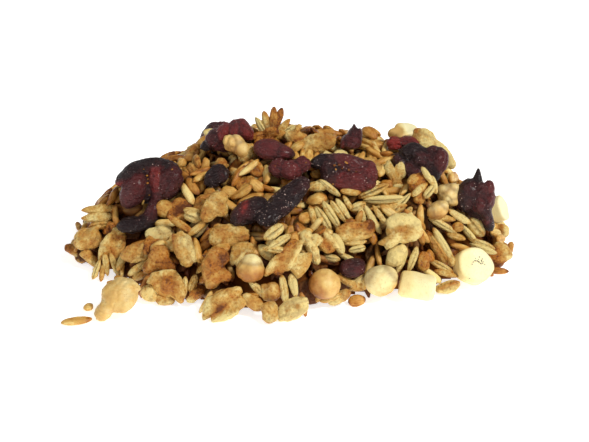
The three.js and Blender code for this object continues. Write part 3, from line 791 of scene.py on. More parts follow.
        (4.4, 1.6, 0.2, 4.4, 4, 2.8, 60, 0.84), (1.6, 0.2, 0.9, 7.2, 1.4, 1.8, -4, 0.3),
    ]},
    {"seen": (402, 230), "rise": 1, "lobes": [
        (0, 0, -0.6, 9.4, 8, 3.6, 0, 0.3), (1.2, 2.8, 0, 9.4, 4.2, 3.6, -12, 0),
        (3.4, -0.6, 0.3, 6, 5, 3.6, 40, 0.2), (0.6, 0.3, 0.9, 6.4, 1.4, 2, -2, 0.6),
        (-2.6, -2.8, 0.3, 7.2, 3.2, 3.2, 52, 0.16), (-2.8, 2.4, 0.2, 4, 3.6, 3, 0, 0.04),
        (-5.4, -3.6, 0, 4, 1.8, 2.2, 10, 0.4),
    ]},
    {"seen": (421, 188), "lobes": [
        (-0.4, 1, -0.4, 7.6, 6.4, 4, 60, 0.74), (-0.6, -3.4, 0.2, 4, 3, 3, 0, 0.66),
    ], "grains": [
        (1.8, 3.6, 1.4, 6.8, 2.1, 2.4, -58, 0.1), (-0.6, -0.4, 1.5, 6.8, 2.3, 2.4, 40, 0.3),
        (2.2, -1.2, 1.6, 4.8, 2.6, 2.6, 50, 0.1), (3.8, 1, 0.8, 6, 2.2, 2.6, -75, 0.26),
        (-2.6, 2.6, 1.2, 4.2, 2.8, 2.6, 40, 0.5),
    ]},
    {"seen": (440, 247), "rise": 0.8, "grains": [
        (-0.8, -0.2, 0, 12.8, 3.4, 3, -58, 0.6), (1, 0.6, 0.5, 12.6, 2.4, 2.6, -58, 0.12),
        (3.4, -4, 0.3, 4.6, 2.8, 2.8, -60, 0.4),
    ]},
    {"seen": (449, 227), "grains": [
        (-2.4, 3, 0, 9.4, 2.2, 2.4, -10, 0.32), (-2, 0.6, 0.4, 10.4, 2.4, 2.6, -30, 0.18),
        (3, 3.2, 0.3, 8.4, 2.4, 2.6, -32, 0.14), (2.6, 0, 0.5, 3.8, 3.2, 2.6, 10, 0.62),
        (2.2, -3, 0, 6.4, 2.4, 2.4, -16, 0.5),
    ]},
    {"seen": (473, 231), "grains": [
        (-1.6, -0.6, 0.5, 7.8, 2.2, 2.6, -48, 0.04), (1.2, 1.2, 0, 7.4, 4.6, 2.6, -50, 0.3),
    ]},
    {"seen": (483, 246), "rise": 0.8, "grains": [
        (-0.4, 0.8, 0, 9.6, 2, 2.4, -22, 0.3), (0, -0.8, 0.4, 9.2, 2.2, 2.6, -20, 0.1),
    ]},
    {"seen": (498, 259), "rise": 0.4, "lobes": [
        (-0.6, -0.6, 0, 6.4, 4.8, 3, -50, 0.76), (1.6, 1.6, 0.2, 6.6, 3, 2.6, -40, 0.4),
        (-0.8, -3.6, 0.1, 4.4, 2.2, 2.4, 20, 0.8), (2.6, -0.4, 0.2, 3.6, 3.2, 2.6, 0, 0.14),
    ]},
    {"seen": (499, 230), "rise": 0, "lobes": [
        (0, -0.8, 0, 4.6, 3.6, 3, 0, 0.6), (-1.6, 0.4, 0, 4.6, 3.2, 3.2, 90, 0.3),
        (1.7, -0.4, 0.2, 4.4, 3.2, 3.2, 90, 0.12), (0.6, 0.6, 0.9, 3, 1.4, 2, 80, 0.8),
    ]},
    {"seen": (396, 256), "rise": 0.4, "wrinkle": 0.4, "lobes": [
        (0, 0, 0, 6.8, 5.4, 5, 70, -0.1), (1.4, 1.8, 0.8, 3.6, 3, 3, 0, -0.06),
        (-1.4, -1.6, 0.8, 3.6, 3, 3, 0, 0.04),
    ]},
    {"seen": (408, 260), "rise": 0.8, "lobes": [
        (4.7, -0.2, -0.2, 5.6, 3.6, 2.6, 80, 0.62), (5, -1.8, 0.2, 3, 2.4, 2.2, 20, 0.5),
    ], "grains": [(-1.8, 0, 0, 9, 2.2, 2.4, 68, 0.18), (1.4, 0.2, 0.3, 8.4, 2.2, 2.4, 70, 0.12)]},
    {"seen": (441, 269), "grains": [
        (0, 0.8, 0, 8.6, 2.2, 2.4, -28, 0.4), (1.6, -1.4, 0.1, 8, 2, 2.4, -14, 0.46),
    ]},
    {"seen": (448, 287), "rise": 0.6, "lobes": [
        (0, 0.2, 0, 7.8, 3.4, 2.4, 14, 0.24), (0, 0.6, 0.8, 7, 0.9, 1.4, 20, 0.8),
        (-0.4, -1.2, 0.4, 5.6, 1.4, 2, 4, 0),
    ]},
    {"seen": (361, 283), "lobes": [
        (0, 0, 0, 6.4, 4.6, 3, 30, 0.36), (-2.2, -1, 0.4, 3.6, 1.4, 2, 50, 0.16),
        (1.2, 1.4, 0.4, 4.4, 1.4, 2, 10, 0.3),
    ]},
    {"seen": (340, 297), "rise": 0.6, "lobes": [
        (0, 0, 0, 6.6, 3.4, 2.8, 30, 0.3), (1.6, 0.8, 0.4, 3.4, 2.2, 2.2, 60, 0.5),
        (-2, -1.4, 0.2, 3, 2, 2, 10, 0.16),
    ]},
    {"seen": (164, 209), "rise": 0.4, "lobes": [(0, 0, 0, 6, 5.6, 5, 0, 0.5)]},
    {"seen": (246, 153), "rise": 0.8, "lobes": [(0, 0, 0, 6.4, 5, 5, 70, 0.3)]},
    # along the crest
    {"at": (-5.6, 1.4), "rise": -3.8, "lobes": [
        (0, -2.8, 0, 7, 4.6, 4.6, 0, 0.4), (-1, -3.6, 1.4, 3.4, 2.2, 2.4, 0, -0.1),
        (2.6, -3, 0.6, 4.4, 3, 3, 10, 0.56),
    ], "grains": [
        (-3.4, -0.4, 0, 7.4, 2.4, 2.4, 122, 0.04), (-1.6, 0.8, 0.4, 8, 2.6, 2.6, 106, 0.44),
        (0.4, 1.6, 0.7, 8.8, 2.8, 2.8, 84, 0.7), (1.9, 1.6, 0.2, 8.6, 2.4, 2.4, 72, 0.9),
        (3.4, -0.6, 0.6, 7.2, 2.4, 2.4, 48, 0.5), (4.6, -1.8, 0.2, 7, 2.2, 2.4, 34, 0.08),
    ]},
    {"seen": (297, 139), "rise": 1, "wrinkle": 0.45, "lobes": [
        (0, 0.4, 0, 7.6, 4, 3, -6, 0.56), (1, -1.6, 0.3, 4, 3.6, 2.8, 60, 0.58),
        (-2.2, 1, 0.2, 3.6, 2.6, 2.4, 0, 0.34), (0, 2.6, 0, 2.4, 1.6, 1.6, 80, 0.5),
    ]},
    {"seen": (317, 144), "rise": 1, "wrinkle": 0.55, "lobes": [
        (0, 0, 0, 11.6, 6.2, 3.6, 8, 0.48), (-3, -1.4, 0.5, 5.6, 3.8, 3, 14, 0.42),
        (3.4, 1, 0.3, 5, 4, 3, 0, 0.52), (0.5, 2.2, 0.3, 8, 2, 2.4, 4, 0.24),
    ]},
    {"at": (42.6, 3.4), "rise": 3.8, "lobes": [
        (0, -1, 0, 8.4, 7.6, 7, -20, 0.26), (-1.8, 2.8, 0, 2.8, 2.6, 2.4, 60, 0.66),
        (1.4, 1.8, 0.4, 6, 3.6, 4, -36, 0.06), (-1.4, 0.4, 0.8, 4.6, 3.4, 4, 20, 0.4),
    ]},
    {"at": (48.6, 2.6), "rise": 3.6, "lobes": [
        (-1.4, -1.6, 0, 9.6, 7, 7, -40, 0.3), (0, 1, 0.2, 9.6, 4.2, 4.4, -46, 0.02),
        (-1.8, -0.2, 0.8, 6.6, 2.4, 4, -40, 0.56), (2.8, -2.6, 0.2, 5.4, 3.2, 3.6, -52, 0.12),
    ]},
]


# Every piece counts as an ellipsoid while it is laid. It comes down on what lies there, tipped to its slope.
laying = {
    "tries": 7,           # positions tried for each piece, of which the one with the fewest gaps is kept
    "tip": 16,            # degrees out of the slope, for most pieces
    "steepShare": 0.2,    # share of pieces that stand steeper
    "steepTip": 48,
    "sizes": (0.88, 1.1), # of a copy, against its shape
    "ellipsoid": 0.94,    # its size, against the shape's
    "sink": 0.84,         # share of the footprint that a piece doesn't sink into
    "overShare": 0.75,    # share of the footprint where its top is measured
    "overWeight": 0.4,    # how much a high top counts against a position
    "underTopping": 0.5,  # mm that a piece may reach into what lies over it
    "rise": 1.5,          # mm that a piece's top may stand above the heap's surface
    "patience": 2,        # failed tries before a spot is given up
    "bigSpacing": 9.0,    # mm from one large piece to the next, at least
    "bigCount": 120,
    "coreInset": 8.5,     # mm from the heap's outline to the core
}
layChance = random.Random(5)
cellChance = np.random.default_rng(8)
coreRelief = np.array([
    [wave(x * 0.35, y * 0.35, 0) + 0.6 * wave(x * 0.8, y * 0.8, 4) for x in columns] for y in rows
])
nearRim = softened(inHeap.astype(float), laying["coreInset"])  # 0.5 at the outline, 1 well inside
climbY, climbX = np.gradient(softened(surface, 3.0), cell)
steepness = np.minimum(np.sqrt(1 + climbX ** 2 + climbY ** 2), 2.2)  # a layer reaches this much deeper
field = surface - heapForm["coreDepth"] * steepness + heapForm["coreBumps"] * coreRelief
field = np.maximum(np.minimum(field, (nearRim - 0.8) * 50), 0)
coreTop = field.copy()
toppingTop = np.full(surface.shape, -1.0)
ceiling = np.full(surface.shape, 1e3)
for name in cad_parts:
    if name in ("granola_heap", "loose_oat", "loose_crumb"):
        continue
    above = castHeights(name)
    below = castHeights(name, False)
    seen = ~np.isnan(above)
    toppingTop[seen] = np.maximum(toppingTop[seen], above[seen])
    ceiling[seen] = np.minimum(ceiling[seen], below[seen])
covered = toppingTop > 0
placements = {kind: [] for kind in (*shapes, "show", "stuck", "sugar", "seed")}
shapes["show"] = []
shownClosed = np.zeros(surface.shape, bool)


def window(x, y, reach):  # the cells round a place, as slices, with their distances from it
    i = int(round((x - columns[0]) / cell))
    j = int(round((y - rows[0]) / cell))
    span = int(math.ceil(reach / cell))
    i0, i1 = max(i - span, 0), min(i + span + 1, len(columns))
    j0, j1 = max(j - span, 0), min(j + span + 1, len(rows))
    return (slice(j0, j1), slice(i0, i1)), columns[i0:i1][None, :] - x, rows[j0:j1][:, None] - y


def slopeAt(x, y, reach):  # square to what lies there
    spot, across, along = window(x, y, max(reach, 2.5))
    patch = field[spot]
    level = patch - patch.mean()
    slopeX = float((level * across).sum() / (across ** 2 * np.ones_like(patch)).sum())
    slopeY = float((level * along).sum() / (along ** 2 * np.ones_like(patch)).sum())
    return Vector((-slopeX, -slopeY, 1)).normalized()


def footprint(half, rotation, x, y):  # cells under an ellipsoid, and its lower and upper side over them
    form = rotation @ np.diag(1 / np.asarray(half) ** 2) @ rotation.T
    spot, across, along = window(x, y, float(max(half)))
    slant = form[0, 2] * across + form[1, 2] * along
    rest = form[0, 0] * across ** 2 + 2 * form[0, 1] * across * along + form[1, 1] * along ** 2 - 1
    inside = slant ** 2 - form[2, 2] * rest
    mask = inside > 0
    root = np.sqrt(np.where(mask, inside, 0))
    return spot, mask, (-slant - root) / form[2, 2], (-slant + root) / form[2, 2]


def turnedTo(normal, heading, tip, tipAngle):
    follow = Vector((0, 0, 1)).rotation_difference(normal).to_matrix()
    tipAxis = Vector((math.cos(tipAngle), math.sin(tipAngle), 0))
    tipped = follow @ Matrix.Rotation(math.radians(tip), 3, tipAxis)
    return np.array(tipped @ Matrix.Rotation(math.radians(heading), 3, "Z"))


def shareOf(values, share):  # the value that this share of them lies below
    return float(np.sort(values)[int(share * (len(values) - 1))])


def tryOut(kind, x, y, limit, rise):
    number = layChance.randrange(len(shapes[kind]))
    size = layChance.uniform(*laying["sizes"])
    half = shapes[kind][number]["half"] * size * laying["ellipsoid"]
    normal = slopeAt(x, y, float(half[0]) * 0.7)
    best = None
    for _ in range(laying["tries"]):
        steep = layChance.random() < laying["steepShare"]
        tip = layChance.uniform(0, laying["steepTip"] if steep else laying["tip"])
        turn = (layChance.uniform(0, 360), tip, layChance.uniform(0, 2 * math.pi))
        rotation = turnedTo(normal, *turn)
        spot, mask, lower, upper = footprint(half, rotation, x, y)
        if mask.sum() < 4:
            continue
        gaps = field[spot][mask] - lower[mask]
        height = max(shareOf(gaps, laying["sink"]), float(-lower[mask].min()))
        over = shareOf((height + upper - limit[spot])[mask], laying["overShare"])
        if over > rise or (height + upper > ceiling[spot] + laying["underTopping"])[mask].any():
            continue
        score = float((height - gaps).mean()) + laying["overWeight"] * max(over, 0)
        if best is None or score < best[0]:
            best = (score, rotation, height, spot, mask, upper)
    if best is None:
        return False
    _, rotation, height, spot, mask, upper = best
    area = field[spot]
    area[mask] = np.maximum(area[mask], height + upper[mask])
    placements[kind].append({"shape": number, "rotation": rotation, "size": size, "place": (x, y, height)})
    return True


shownForm = {
    "rise": 0.5,          # mm over the heap's surface, where a piece gives none
    "groove": (0.04, 0.3),
    "plumpWidth": 3.1,    # mm, a wider grain is a puffed one
    "bigLobe": 7,         # mm, a piece with a longer lobe gets finer faces
    "roll": 14,           # degrees that a grain may roll and tip
    "tip": 7,
    "filled": 0.92,       # its ellipsoid, for what is laid on it, and for where nothing else goes
    "closed": 0.7,
}


def frontPiece(look, chance):
    parts = []
    if look.get("lobes"):
        rows = look["lobes"]
        lobes = lobesFrom(rows, look.get("wrinkle", crispFlake["wrinkle"]))
        finer = 4 if max(row[3] for row in rows) > shownForm["bigLobe"] else 3
        made = fusedShape(lobes, crispFlake, chance.uniform(0, 90), finer)
        made["toasts"] = np.array([row[7] for row in rows]) @ made.pop("shares")
        parts.append(made)
    for row in look.get("grains", []):
        size = {key: (row[index], row[index]) for key, index in (("length", 3), ("width", 4), ("thick", 5))}
        plump = puffedOat if row[4] > shownForm["plumpWidth"] else oatGrain
        faces = {"groove": shownForm["groove"], "around": 10, "along": 9, "rolls": (0,)}
        part = grainShape({**plump, **size, **faces}, chance)
        part["toasts"] = part["toasts"] + row[7]
        roll = chance.uniform(-shownForm["roll"], shownForm["roll"])
        tip = chance.uniform(-shownForm["tip"], shownForm["tip"])
        parts.append(placedShape(part, (roll, tip, row[6]), row[:3]))
    return joinedShape(parts)


def seenPlace(across, down, rise):  # where a pixel of the photo meets the heap, that far over its surface
    wide, high = cameraView["photoSize"]
    perPixel = cameraView["sensor"] / cameraView["lens"] / wide
    ray = frontTilt @ np.array(((across - wide / 2) * perPixel, (high / 2 - down) * perPixel, -1))
    place = np.array(cameraView["place"]) + np.array((heapMiddle.x, heapMiddle.y, 0))
    place = place + ray * 250  # still well before the heap
    for _ in range(1500):
        place = place + ray * 0.15
        i, j = int(round((place[0] - columns[0]) / cell)), int(round((place[1] - rows[0]) / cell))
        inside = 0 <= i < len(columns) and 0 <= j < len(rows)
        if place[2] < (surface[j, i] + rise if inside else 0):
            break
    return place


def layShown(look):
    shape = frontPiece(look, layChance)
    shapes["show"].append(shape)
    rise = look.get("rise", shownForm["rise"])
    if "seen" in look:
        place = seenPlace(*look["seen"], rise)
    else:
        x, y = look["at"][0] + heapMiddle.x, look["at"][1] + heapMiddle.y
        i, j = int(round((x - columns[0]) / cell)), int(round((y - rows[0]) / cell))
        place = np.array((x, y, surface[j, i] + rise))
    place = place + frontTilt @ shape["shift"]
    x, y = float(place[0]), float(place[1])
    spot, mask, lower, upper = footprint(shape["half"] * shownForm["filled"], frontTilt, x, y)
    height = max(float(place[2]), -float((shape["points"] @ frontTilt.T)[:, 2].min()))
    area = field[spot]
    area[mask] = np.maximum(area[mask], height + upper[mask])
    inner = footprint(shape["half"] * shownForm["closed"], frontTilt, x, y)
    shownClosed[inner[0]] |= inner[1]
    number = len(shapes["show"]) - 1
    laid = {"shape": number, "rotation": frontTilt, "size": 1.0, "place": (x, y, height), "toast": 0}
    placements["show"].append(laid)


def pickKind(shares):
    draw = layChance.random() * sum(shares.values())
    for kind, share in shares.items():
        draw -= share
        if draw <= 0:
            return kind
    return kind


def fillUp(limit, shares, closed, stopAt, most, rise):
    failed = np.zeros(surface.shape, int)
    laid = 0
    tried = 0
    while laid < most and tried < most * 3:
        if tried % 12 == 0:
            jitter = cellChance.uniform(0, 1.2, surface.shape)
        tried += 1
        want = np.where(closed | (failed >= laying["patience"]) | ~inHeap, -9, limit - field + jitter)
        j, i = np.unravel_index(int(np.argmax(want)), want.shape)
        if limit[j, i] - field[j, i] < stopAt:
            failed[j, i] = laying["patience"]
            if want[j, i] < stopAt:
                break
            continue
        side = "left" if columns[i] < heapMiddle.x else "right"
        done = tryOut(pickKind(shares[side]), float(columns[i]), float(rows[j]), limit, rise)
        if done:
            laid += 1
            continue
        spot = window(columns[i], rows[j], 1.0)[0]
        failed[spot] += 1
    return laid


def spreadBig(kinds, count, limit, rise, closed):  # large pieces at evenly spread places, before the grains
    laid = 0
    taken = []
    inside = np.argwhere(inHeap & ~closed)
    for _ in range(count * 12):
        j, i = inside[cellChance.integers(len(inside))]
        x, y = float(columns[i]), float(rows[j])
        if any((x - other[0]) ** 2 + (y - other[1]) ** 2 < laying["bigSpacing"] ** 2 for other in taken):
            continue
        side = "left" if x < heapMiddle.x else "right"
        if tryOut(pickKind(kinds[side]), x, y, limit, rise):
            taken.append((x, y))
            laid += 1
        if laid == count:
            break
    return laid


lowerShares = {
    "left": {"grain": 0.55, "puffed": 0.25, "rolled": 0.2},
    "right": {"grain": 0.65, "puffed": 0.25, "rolled": 0.1},
}
bigShares = {
    "left": {"crisp": 0.4, "cluster": 0.16, "rolled": 0.2, "bundle": 0.24},
    "right": {"crisp": 0.16, "cluster": 0.24, "rolled": 0.14, "bundle": 0.46},
}
upperShares = {
    "left": {"grain": 0.52, "puffed": 0.28, "rolled": 0.1, "chip": 0.1},
    "right": {"grain": 0.66, "puffed": 0.22, "rolled": 0.06, "chip": 0.06},
}
crumbShares = {"left": {"chip": 0.6, "grain": 0.4}, "right": {"chip": 0.4, "grain": 0.6}}
nothingClosed = np.zeros(surface.shape, bool)
lowerCount = fillUp(surface - 2.8 * steepness, lowerShares, nothingClosed, 0.6, 1500, laying["rise"])
print("lower layers:", lowerCount, "pieces")
field = np.where(covered, np.maximum(field, toppingTop), field)
ceiling[:] = 1e3
for look in showPieces:
    layShown(look)
bigCount = spreadBig(bigShares, laying["bigCount"], surface, 3.0, covered | shownClosed)
print("large pieces:", len(showPieces), "with places of their own and", bigCount, "spread")
upperCount = fillUp(surface + 0.3, upperShares, covered | shownClosed, 0.9, 1200, laying["rise"])
bare = (field - coreTop < 0.5) & inHeap
bareCount = fillUp(np.where(bare, surface + 0.5, -9), upperShares, covered, 0.5, 400, 3.5)
crumbCount = fillUp(surface - 0.6, crumbShares, covered | shownClosed, 1.2, 400, laying["rise"])
print("upper layer:", upperCount, "pieces, on bare places:", bareCount, "and in the gaps:", crumbCount)


def depthUnder(points):  # mm under the heap's surface
    i = np.clip(np.round((points[:, 0] - columns[0]) / cell).astype(int), 0, len(columns) - 1)
    j = np.clip(np.round((points[:, 1] - rows[0]) / cell).astype(int), 0, len(rows) - 1)
    return surface[j, i] - points[:, 2]


def insideBox(points):  # a piece that would stand out of the solids' box is moved in
    low, high = (np.array(corner) / mm for corner in cadBox)
    return points + np.maximum(low + 0.02 - points.min(0), 0) - np.maximum(points.max(0) - high, 0)


looseToast = {"left": 0.56, "right": 0.49, "spread": 0.2}


def joinCopies(name, kind, material, chance):
    points, creases, corners, sides, own, toast, depth = [], [], [], [], [], [], []
    offset = 0
    for laid in placements[kind]:
        shape = shapes[laid.get("kind", kind)][laid["shape"]]
        local = shape["points"] * laid["size"]
        points.append(insideBox(local @ laid["rotation"].T + np.array(laid["place"])))
        creases.append(shape["creases"])
        corners.append(shape["corners"] + offset)
        sides.append(shape["sides"])
        own.append(local + np.array([chance.uniform(0, 200) for _ in range(3)]))
        usual = looseToast["left" if laid["place"][0] < heapMiddle.x else "right"]
        toast.append(shape["toasts"] + laid.get("toast", chance.gauss(usual, looseToast["spread"])))
        depth.append(depthUnder(points[-1]))
        offset += len(local)
    piece = meshFromArrays(name, np.concatenate(points), np.concatenate(corners), np.concatenate(sides))
    storeAttribute(piece, "own", "FLOAT_VECTOR", np.concatenate(own))
    storeAttribute(piece, "crease", "FLOAT", np.concatenate(creases))
    storeAttribute(piece, "toast", "FLOAT", np.concatenate(toast))
    storeAttribute(piece, "depth", "FLOAT", np.concatenate(depth))
    piece.data.materials.append(material)
    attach(piece, "root")
    print(name, len(sides), "pieces,", len(piece.data.polygons), "faces")


def meshFromArrays(name, points, corners, sides):
    mesh = bpy.data.meshes.new(name)
    mesh.vertices.add(len(points))
    mesh.vertices.foreach_set("co", (points * mm).astype(np.float32).ravel())
    mesh.loops.add(len(corners))
    mesh.loops.foreach_set("vertex_index", corners.astype(np.int32))
    mesh.polygons.add(len(sides))
    starts = np.concatenate([[0], np.cumsum(sides)[:-1]])
    mesh.polygons.foreach_set("loop_start", starts.astype(np.int32))
    mesh.update(calc_edges=True)
    mesh.shade_smooth()
    piece = bpy.data.objects.new(name, mesh)
    bpy.context.scene.collection.objects.link(piece)
    return piece


def storeAttribute(piece, name, kind, values):
    made = piece.data.attributes.new(name, kind, "POINT")
    key = "vector" if kind == "FLOAT_VECTOR" else "value"
    made.data.foreach_set(key, values.astype(np.float32).ravel())


# Finishes.
oatFinish = {
    "pale": paint(248, 224, 148),
    "golden": paint(220, 172, 88),
    "toasted": paint(182, 118, 44),
    "burnt": paint(108, 56, 20),
    "crease": paint(132, 78, 32),
    # The crease colour is a grain's bran line in its groove, and painted shade in grooves, pits, hollows and
    # folds.
    "speck": paint(112, 66, 32),
    "deep": paint(96, 44, 12),   # painted shade for what lies far down between its neighbours
    "paintedGapShade": 0.88,
    "streaks": 1.0,        # 1 for lengthwise streaks, 0 for blotches
    "creaseShade": 0.5,
    "grit": 0.6,
    "relief": 0.4,         # mm
    "mottle": 0.1,
}

flakeFinish = {
    **oatFinish,
    "toasted": paint(190, 118, 42),
    "streaks": 0.0,
    "creaseShade": 0.75,
    "grit": 1.6,
    "relief": 0.9,
    "mottle": 0.26,
}


def oatMaterial(name, look, shift, roughness):
    material, tree, shader = newMaterial(name)
    own = attribute(tree, "own", 1)
    toast = attribute(tree, "toast", 2)
    crease = attribute(tree, "crease", 2)
    cloud = own.noise(0.36, 3.0)
    stretch = look["streaks"]
    streak = own.scaled(1.2 - 0.9 * stretch, 1.2 + stretch, 1.2 + stretch).noise(1.0, 3.0)
    pits = own.noise(1.1, 4.0, 0.7)
    level = toast + shift + (cloud - 0.5) + (streak - 0.5) * 0.5
    level = level + pits.between(0.48, 0.68) * look["mottle"]
    stops = [(0.12, look["pale"]), (0.42, look["golden"]), (0.74, look["toasted"]), (1.0, look["burnt"])]
    colour = level.ramp(stops)
    # Painted shade, besides the bran line: grooves, pits, hollows and the seams and folds of lobes are
    # darkened towards the crease colour.
    colour = (crease.between(0.15, 1.0) * look["creaseShade"]).tint(colour, look["crease"])
    specks = 1 - own.cells(1.3).between(0.1, 0.2)
    colour = (specks * 0.5).tint(colour, look["speck"])
    # Painted shade: a piece is darkened towards the deep brown the further it lies under the heap's surface,
    # between its neighbours.
    depth = attribute(tree, "depth", 2)
    colour = (depth.between(0.4, 4.2) * look["paintedGapShade"]).tint(colour, look["deep"])
    relief = streak * 0.6 - pits * look["grit"]
    bumps = relief.bump(0.75, look["relief"] * mm)
    sheen = own.noise(0.25, 1.0)
    rough = roughness - 0.26 * sheen.between(0.45, 0.6)
    fixed = {"IOR": 1.45, "Specular IOR Level": 0.4}
    finishShader(tree, shader, {"Base Color": colour, "Roughness": rough, "Normal": bumps}, fixed)
    return material


oatBrown = oatMaterial("toastedOat", oatFinish, 0.0, 0.52)
flakeBrown = oatMaterial("toastedFlake", flakeFinish, -0.02, 0.5)

sugarWhite, sugarTree, sugarShader = newMaterial("sugarGrain")
sugarTone = attribute(sugarTree, "own", 1).noise(0.8, 1.0)
sugarColour = sugarTone.tint(paint(250, 226, 214), paint(186, 140, 128))
finishShader(sugarTree, sugarShader, {"Base Color": sugarColour}, {"Roughness": 0.25, "IOR": 1.5})

seedBlack, seedTree, seedShader = newMaterial("bananaSeed")
seedTone = attribute(seedTree, "own", 1).noise(0.8, 1.0)
seedColour = seedTone.tint(paint(34, 26, 16), paint(84, 62, 34))
finishShader(seedTree, seedShader, {"Base Color": seedColour}, {"Roughness": 0.6})

# The core's dark brown is painted shade: it shows in the gaps between the pieces, where shade falls.
coreShadeMaterial, coreTree, coreShader = newMaterial("heapInsideShade")
corePlace = Signal(coreTree).node("ShaderNodeTexCoord", {}, {}, 3)
coreShadeColour = corePlace.noise(400.0, 3.0).tint(paint(84, 42, 12), paint(130, 76, 28))
finishShader(coreTree, coreShader, {"Base Color": coreShadeColour}, {"Roughness": 0.9, "Specular IOR Level": 0.1})


def buildCore():
    bm = bmesh.new()
    wide, deep = columns[-1] - columns[0], rows[-1] - rows[0]
    bmesh.ops.create_grid(bm, x_segments=int(wide / 1.5), y_segments=int(deep / 1.5), size=0.5)
    middleX, middleY = (columns[-1] + columns[0]) / 2, (rows[-1] + rows[0]) / 2
    for vert in bm.verts:
        x, y = vert.co.x * wide + middleX, vert.co.y * deep + middleY
        i = min(int(round((x - columns[0]) / cell)), len(columns) - 1)
        j = min(int(round((y - rows[0]) / cell)), len(rows) - 1)
        vert.co = Vector((x, y, coreTop[j, i]))
    low = [vert for vert in bm.verts if vert.co.z < 0.3]
    bmesh.ops.delete(bm, geom=low, context="VERTS")
    rim = [edge for edge in bm.edges if edge.is_boundary]
    skirt = bmesh.ops.extrude_edge_only(bm, edges=rim)
    for item in skirt["geom"]:
        if isinstance(item, bmesh.types.BMVert):
            item.co.z = 0.05
    bmesh.ops.holes_fill(bm, edges=[edge for edge in bm.edges if edge.is_boundary], sides=0)
    bmesh.ops.recalc_face_normals(bm, faces=bm.faces)
    bmesh.ops.scale(bm, verts=bm.verts, vec=(mm, mm, mm))
    mesh = bpy.data.meshes.new("heapCore")
    bm.to_mesh(mesh)
    bm.free()
    mesh.shade_smooth()
    mesh.materials.append(coreShadeMaterial)
    core = bpy.data.objects.new("heapCore", mesh)
    bpy.context.scene.collection.objects.link(core)
    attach(core, "root")
    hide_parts("granola_heap")


def fittedTo(name, points):  # stretched a little, so that the piece keeps the size and place of its solid
    low, high = (np.array(corner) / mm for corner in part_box(name))
    lowest, highest = points.min(0), points.max(0)
    return (points - (lowest + highest) / 2) * (high - low) / (highest - lowest) + (low + high) / 2


def soloPiece(name, made, numbers, material, replaced, seed):
    piece = meshFromArrays(name, made["points"], made["corners"], made["sides"])
    storeAttribute(piece, "crease", "FLOAT", made["creases"])
    storeAttribute(piece, "own", "FLOAT_VECTOR", made["points"] + seed * 7.3)
    for label, values in numbers.items():
        storeAttribute(piece, label, "FLOAT", values)
    piece.data.materials.append(material)
    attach(piece, "root")
    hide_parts(replaced)
    return piece


# A crumb is stuck on what the viewer sees of a piece, that far to the right and up from its middle.
crumbLook = {"share": 0.55, "lift": 0.12, "toast": 0.45}
trees = {}


def stickOn(piece, kind, right, up, size, toast, turn, chance, group="stuck"):
    if piece.name not in trees:
        trees[piece.name] = treeOf(piece)
    low, high = piece.bound_box[0], piece.bound_box[6]
    middle = (Vector(low) + Vector(high)) / 2
    toward = Vector(frontTilt @ np.array((0, 0, 1)))
    start = middle + Vector(frontTilt @ np.array((right, up, 0))) * mm + toward * 0.1
    hit, normal, _, _ = trees[piece.name].ray_cast(start, -toward)
    if hit is None:
        return
    number = chance.randrange(len(shapes[kind]))
    shape = shapes[kind][number]
    rotation = turnedTo(normal, turn, chance.uniform(0, 20), 1.0)
    place = np.array(hit / mm) + np.array(normal) * size * crumbLook["lift"]
    scale = crumbLook["share"] * size / 2 / float(max(shape["half"]))
    laid = {"kind": kind, "shape": number, "rotation": rotation, "size": scale, "place": tuple(place)}
    placements[group].append({**laid, "toast": toast + crumbLook["toast"]})


